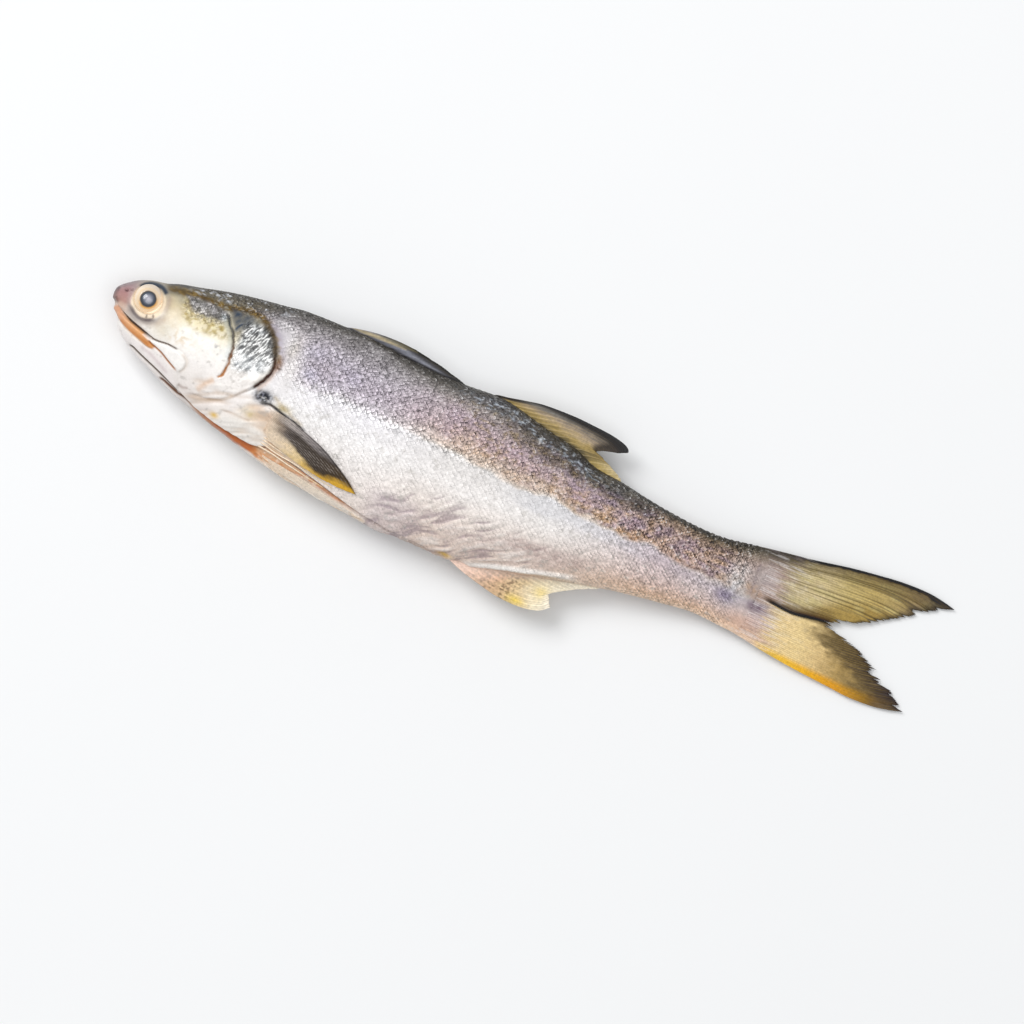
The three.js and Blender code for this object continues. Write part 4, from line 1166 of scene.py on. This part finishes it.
def make_second_dorsal(material):
    membrane = sheet(
        [(127, 22), (139, 21), (149, 18.9), (160, 16.6), (170, 13.2), (179, 12.2)],
        [(177.9, 23.9), (175.5, 22.6), (172, 21.6), (169.2, 20.6), (168.2, 19.4), (171.5, 18.4), (176, 16.6),
         (180.4, 14.4)],
        [(127, 22), (130, 23.6), (134, 24.4), (139, 25.6), (146, 27), (156.5, 27.6), (164.2, 27.4),
         (170.5, 27), (175.2, 26.1), (177.4, 25), (177.9, 23.9)],
        [(179, 12.2), (180.4, 14.4)],
        15, in_median, dorsal_colours, fray=0.4, per_ray=13, lengthwise=90, thick=(0.9, 0.12), seed=321)
    make_fin("second_dorsal_fin", "dark_fin", material, membrane)


def first_dorsal_colours(u, v, t, s, ray):
    above = v - BACK(u)
    p = Paint(u, v, ramp(s + 0.12 * (1 - t) + 0.04 * noise(u / 4, v / 0.6, 231), [
        (0, "1d1b1a"), (0.16, "2b292a"), (0.3, "6d6e78"), (0.5, "85868f"), (0.7, "4b4a4e"), (0.88, "3b3833"),
        (1, "1f1d1b"),
    ]))
    p.area(0.9, [(76, 24.2), (84, 25.4), (92, 25.3), (96, 24.8), (86, 24.3), (80, 24)], 0.4, "b5a685")
    p.area(0.5, [(84, 25.6), (94, 26.2), (100, 25.6), (92, 25)], 0.4, "8a8266")
    p.over(0.85 * ease(above, 0.7, 0.1) * ease(u, 90, 98), "1c1a19")
    return p.over(0.35 * ease(ray, -0.3, -1), "2b2a2c")


def make_first_dorsal(material):
    membrane = sheet(
        [(72, 21.8), (84, 22.4), (94, 21.8), (104, 21.2), (114, 21)],
        [(99, 26.2), (108, 24.9), (113, 23.8), (117, 22.9), (119, 22.3)],
        [(72, 22), (75, 23.6), (79, 24.8), (85, 25.9), (92, 26.4), (99, 26.2)],
        [(114, 21), (119, 22.3)],
        8, in_median, first_dorsal_colours, fray=0.25, per_ray=16, lengthwise=80, thick=(1.3, 0.35), seed=331)
    make_fin("first_dorsal_fin", "dark_fin", material, membrane)


def anal_colours(u, v, t, s, ray):
    grain = noise(u / 2.5, v / 1.0, 241, 2)
    p = Paint(u, v, ramp(u + 1.5 * grain, [
        (136, "e0c0ae"), (146, "d6b298"), (156, "cfae8a"), (163, "dfc69c"), (170, "f3e6c8"), (178, "f3e9d2"),
    ]))
    p.area(0.4, [(140, -33), (150, -31), (158, -30), (156, -33), (146, -35)], 1.5, "e5a98c")
    specks = ease(noise(u / 0.55, v / 0.55, 242), 0.15, 0.45) * span(u, 141, 147, 160, 167)
    p.over(0.72 * specks, "6b5544")
    p.spot(0.75, (163.5, -36.6), (3.2, 1.6), "f0d25c")
    p.spot(0.7, (170.5, -30.8), (2.6, 2.2), "f3d985")
    p.over(0.6 * ease(s, 0.86, 1), "faf1e0")
    p.over(0.2 * ease(ray, 0.2, -1), "a8875f")
    # Pale band at the fin's root: the sheath's cream, lightened as a painted highlight that carries on the
    # crest's pale line.
    p.over(0.8 * ease(s, 0.45, 0.05), ramp(u, [(138, "f2d6c8"), (160, "f4dccb"), (180, "f6e8d8")]))
    return p.over(0.6 * ease(t, 0.62, 0.72), "f3e9d6")


def make_anal(material):
    membrane = sheet(
        [(137, -31.8), (145, -30.2), (152, -28.6), (160, -27), (170, -24.2), (180, -21.2), (187, -19.6)],
        [(175.2, -34.1), (174.4, -32.4), (173.2, -30.4), (174.3, -28.9), (177.5, -26.8), (182, -24.4),
         (188, -21.6)],
        [(136.5, -32.8), (143, -35), (150, -36.6), (158, -38), (166, -38), (172, -36.6), (175.2, -34.1)],
        [(187, -19.6), (188, -21.6)],
        15, in_median, anal_colours, fray=0.5, per_ray=13, lengthwise=90, thick=(0.9, 0.12), seed=341)
    make_fin("anal_fin", "pale_fin", material, membrane)


def on_flank(side, low, high, start):
    """Height of a fin that lies on a flank, from inside the skin at its root to just off it."""

    def height(u, v, t, s):
        out = low + (high - low) * ease(u - start, 0, 8)
        z = median(u) + side * (flank(u, v) + out)
        return np.maximum(z, CLEARANCE)

    return height


def pectoral_colours(u, v, t, s, ray):
    """Dark membrane between a grey upper edge and a golden lower one, on a flesh-coloured root."""
    grain = noise(u / 3, v / 1.6, 251, 2)
    dark_top = np.interp(u, [66, 68, 73, 77, 84, 92, 96, 100],
                         [-13.8, -14.4, -15.4, -16.6, -18.9, -21.2, -22.8, -25.4])
    dark_low = np.interp(u, [66, 68, 73, 77, 80.4, 84, 88, 92, 96, 100],
                         [-16.8, -17.8, -19.6, -21.5, -23.2, -24.3, -24.8, -24.5, -24.8, -25.4])
    blurred = np.interp(u, [64, 74], [2.6, 0.9])
    streak = 0.5 * ray + 0.5 * noise(u / 5, v / 0.4, 252, 2)
    p = Paint(u, v, ramp(u + 2 * grain, [
        (64, "ecdac6"), (71, "ead5b9"), (76, "e8ce9f"), (81, "e2bd70"), (88, "d2a443"), (99, "dcab38"),
    ]))
    below = ease(v + 0.5 * grain - dark_low, -blurred, blurred) * ease(u + grain, 62, 71)
    p.over(0.97 * below, ramp(u, [
        (63, "9c846e"), (67, "7a685c"), (72, "4e4745"), (84, "403b3a"), (94, "443a30"), (100, "6b552c"),
    ]))
    above = ease(v + 0.3 * grain - dark_top, -0.5, 1.1) * ease(u, 64, 70)
    grey = ramp(u, [(64, "c3b5a8"), (72, "b0a7a2"), (80, "948c8b"), (88, "6b6564"), (96, "4b423c")])
    p.over(0.9 * above, grey)
    p.over(0.5 * np.maximum(below, above) * ease(streak, 0.15, 0.8), "aaa19b")
    p.over(0.5 * np.maximum(below, above) * ease(streak, -0.15, -0.8), "262122")
    p.over(0.7 * ease(t, 0.035, 0.0) * ease(u, 70, 80), "2a2728")
    return p.over(ease(u + 0.6 * grain, 66.5, 62.5), trunk_skin(u, v))


def pelvic_colours(u, v, t, s, ray):
    p = Paint(u, v, ramp(s, [(0, "eedac4"), (0.5, "f3e4d0"), (1, "f6ecdf")]))
    return p.over(0.4 * ease(ray, 0.2, -1), "d9b694")


def make_paired(dark, pale):
    for side, name in SIDES:
        blade = sheet(
            [(60.4, -11.2), (61, -13.5), (61.8, -16.5), (63.6, -19.8)],
            [(100.6, -26.2), (97, -26.5), (92, -26.5), (86, -26), (79, -24.9), (72, -23.2)],
            [(60.4, -11.2), (66, -11.8), (72, -12.8), (83, -16.1), (90, -19.4), (96, -22.8), (100.6, -26.2)],
            [(63.6, -19.8), (67.5, -21.8), (72, -23.2)],
            22, on_flank(side, -0.6, 1.3, 60.5), pectoral_colours, fray=0.4, per_ray=8, lengthwise=110,
            thick=(0.5, 0.12), seed=351)
        make_fin(f"{name}_pectoral_fin", "dark_fin", dark, blade)
        folded = sheet(
            [(66.5, -26.8), (67, -27.8), (67.8, -28.9)],
            [(102.5, -32.4), (99, -32.8), (95, -32.8), (90, -32.2)],
            [(66.5, -26.8), (84, -29), (102.5, -32.4)],
            [(67.8, -28.9), (78, -30.8), (90, -32.2)],
            8, on_flank(side, -0.3, 0.5, 66), pelvic_colours, fray=0.4, per_ray=10, lengthwise=90,
            thick=(0.6, 0.14), seed=361)
        make_fin(f"{name}_pelvic_fin", "pale_fin", pale, folded)


def make_filaments(material):
    """Free rays below the pectoral fins: tapered threads that lie back along the flank."""
    for side, name in SIDES:
        for index in range(1, 5):
            node = f"{name}_pectoral_filament_{index}"
            low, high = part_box(node)
            u0, u1 = ((x - X_ZERO) / MM for x in (low[0], high[0]))
            v0, v1 = ((y - Y_ZERO) / MM for y in (high[1], low[1]))
            s = np.linspace(0, 1, 80)
            u = u0 + (u1 - u0) * s
            v = v0 - 0.35 + (v1 - v0 + 0.7) * s + 0.25 * noise(s * 4, 0 * s, 370 + index)
            radius = 0.33 * (1 - 0.72 * s) * (0.96 + 0.04 * np.cos(s * 160))
            out = flank(u, v) + 0.5 * ease(s, 0, 0.08) + 0.1
            centre = np.stack([u, v, median(u) + side * out], -1)
            turn = np.linspace(0, 2 * np.pi, 14, endpoint=False)
            ring = np.stack([0 * turn, np.cos(turn), np.sin(turn)], -1)
            points = centre[:, None, :] + radius[:, None, None] * ring[None]
            rows, columns = len(s), len(turn)
            faces = quads(rows, columns, wrap=True).tolist()
            faces += [tuple(range(columns)), tuple(range((rows - 1) * columns, rows * columns))]
            shade = ramp(s, [(0, "e6d0b6"), (0.5, "ecdcc6"), (1, "e9d3a6")])
            tint = np.repeat(shade[:, None], columns, 1)
            traits = np.zeros((rows, columns, 3))
            traits[..., 1] = 30 * s[:, None]
            close_shells(add_piece(node, material, points, faces, tint, traits))


# ---- Eyes ----


def make_eyes(material):
    """Eyeballs with a raised lens, tilted a little towards the back as the sockets are."""
    polar = np.linspace(0, np.pi, 72)[:, None]
    turn = np.linspace(0, 2 * np.pi, 120, endpoint=False)[None, :]
    x, y = np.sin(polar) * np.cos(turn), np.sin(polar) * np.sin(turn)
    front = np.cos(polar) > 0
    across, up = x + PUPIL_AT[0], y + PUPIL_AT[1]
    r = np.hypot(across, up)
    lens = 0.2 * ease(r, 0.56, 0.3) * front - 0.05 * np.exp(-(((r - 0.55) / 0.05) ** 2)) * front
    z = EYE_DOME * np.cos(polar) + lens
    traits = np.stack([across, up, 0 * x], -1)
    rows, columns = x.shape
    faces = quads(rows, columns, wrap=True).tolist()
    for side, name in SIDES:
        low, high = (np.array(corner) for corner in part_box(f"{name}_eye"))
        centre = ((low + high) / 2 - (X_ZERO, Y_ZERO, 0)) / MM
        radius = 0.985 * (high[0] - low[0]) / 2 / MM
        px, py = radius * x, radius * y
        ty = py * math.cos(EYE_TILT) + z * math.sin(EYE_TILT)
        tz = -py * math.sin(EYE_TILT) + z * math.cos(EYE_TILT)
        points = np.stack([centre[0] + px, centre[1] + ty, centre[2] + side * tz], -1)
        tint = np.ones((rows, columns, 3))
        close_shells(add_piece(f"{name}_eye", material, points, faces, tint, traits), 2e-6)


# ---- Stage ----

PHOTO_TURN = math.radians(24.2)
VIEW_U, VIEW_V, VIEW_WIDTH, VIEW_HEIGHT = 150.5, -10.1, 342.5, 4000
FLOOR_HALF, FLOOR_Z = 3.0, -0.0003


def plain(name, colour, roughness):
    graph = Graph(name)
    wash = graph.mix(graph.noise(9, 2.0), (*colour, 1), (*[c * 0.985 for c in colour], 1))
    return graph.finish(Base_Color=wash, Roughness=roughness)


def make_stage():
    mesh = bpy.data.meshes.new("floor")
    corners = [(x * FLOOR_HALF, y * FLOOR_HALF, FLOOR_Z) for x, y in ((-1, -1), (1, -1), (1, 1), (-1, 1))]
    mesh.from_pydata(corners, [], [(0, 1, 2, 3)])
    mesh.materials.append(plain("pale_floor", (0.86, 0.865, 0.87), 0.6))
    floor = bpy.data.objects.new("floor", mesh)
    bpy.context.scene.collection.objects.link(floor)

    world = bpy.data.worlds.new("studio")
    world.use_nodes = True
    background = world.node_tree.nodes["Background"]
    background.inputs["Color"].default_value = (0.97, 0.985, 1, 1)
    background.inputs["Strength"].default_value = 0.42
    bpy.context.scene.world = world

    lamp("key", (-1.1, 1.5, 2.4), 1.5, 56)
    lamp("overhead", (0.3, -0.2, 3.2), 2.2, 28)


def lamp(name, screen_place, size, power):
    """Square soft light. Its place is right, up and towards the camera, as the camera sees it."""
    right, up, towards = screen_place
    centre = (X_ZERO + VIEW_U * MM, Y_ZERO + VIEW_V * MM)
    c, s = math.cos(PHOTO_TURN), math.sin(PHOTO_TURN)
    data = bpy.data.lights.new(name, "AREA")
    data.size = size
    data.energy = power
    light = bpy.data.objects.new(name, data)
    light.location = (centre[0] + right * c - up * s, centre[1] + right * s + up * c, towards)
    aim = Vector((centre[0], centre[1], 0)) - light.location
    light.rotation_euler = aim.to_track_quat("-Z", "Y").to_euler()
    bpy.context.scene.collection.objects.link(light)


def make_camera():
    data = bpy.data.cameras.new("camera")
    data.sensor_fit = "HORIZONTAL"
    data.angle = 2 * math.atan(VIEW_WIDTH / 2 / VIEW_HEIGHT)
    data.clip_start, data.clip_end = 0.05, 20
    camera = bpy.data.objects.new("camera", data)
    camera.location = (X_ZERO + VIEW_U * MM, Y_ZERO + VIEW_V * MM, (VIEW_HEIGHT + TRUNK_MEDIAN) * MM)
    camera.rotation_euler = (0, 0, PHOTO_TURN)
    bpy.context.scene.collection.objects.link(camera)
    bpy.context.scene.camera = camera


make_camera()
make_stage()
make_body(skin_material())
make_eyes(eye_material())
dark_fin = fin_material("threadfin_dark_fin", 0.7)
yellow_fin = fin_material("threadfin_yellow_fin", 0.6)
pale_fin = fin_material("threadfin_pale_fin", 0.6)
make_tail(yellow_fin)
make_first_dorsal(dark_fin)
make_second_dorsal(dark_fin)
make_anal(pale_fin)
make_paired(dark_fin, pale_fin)
make_filaments(pale_fin)
bpy.context.scene.view_settings.view_transform = "Standard"

bpy.context.view_layer.update()
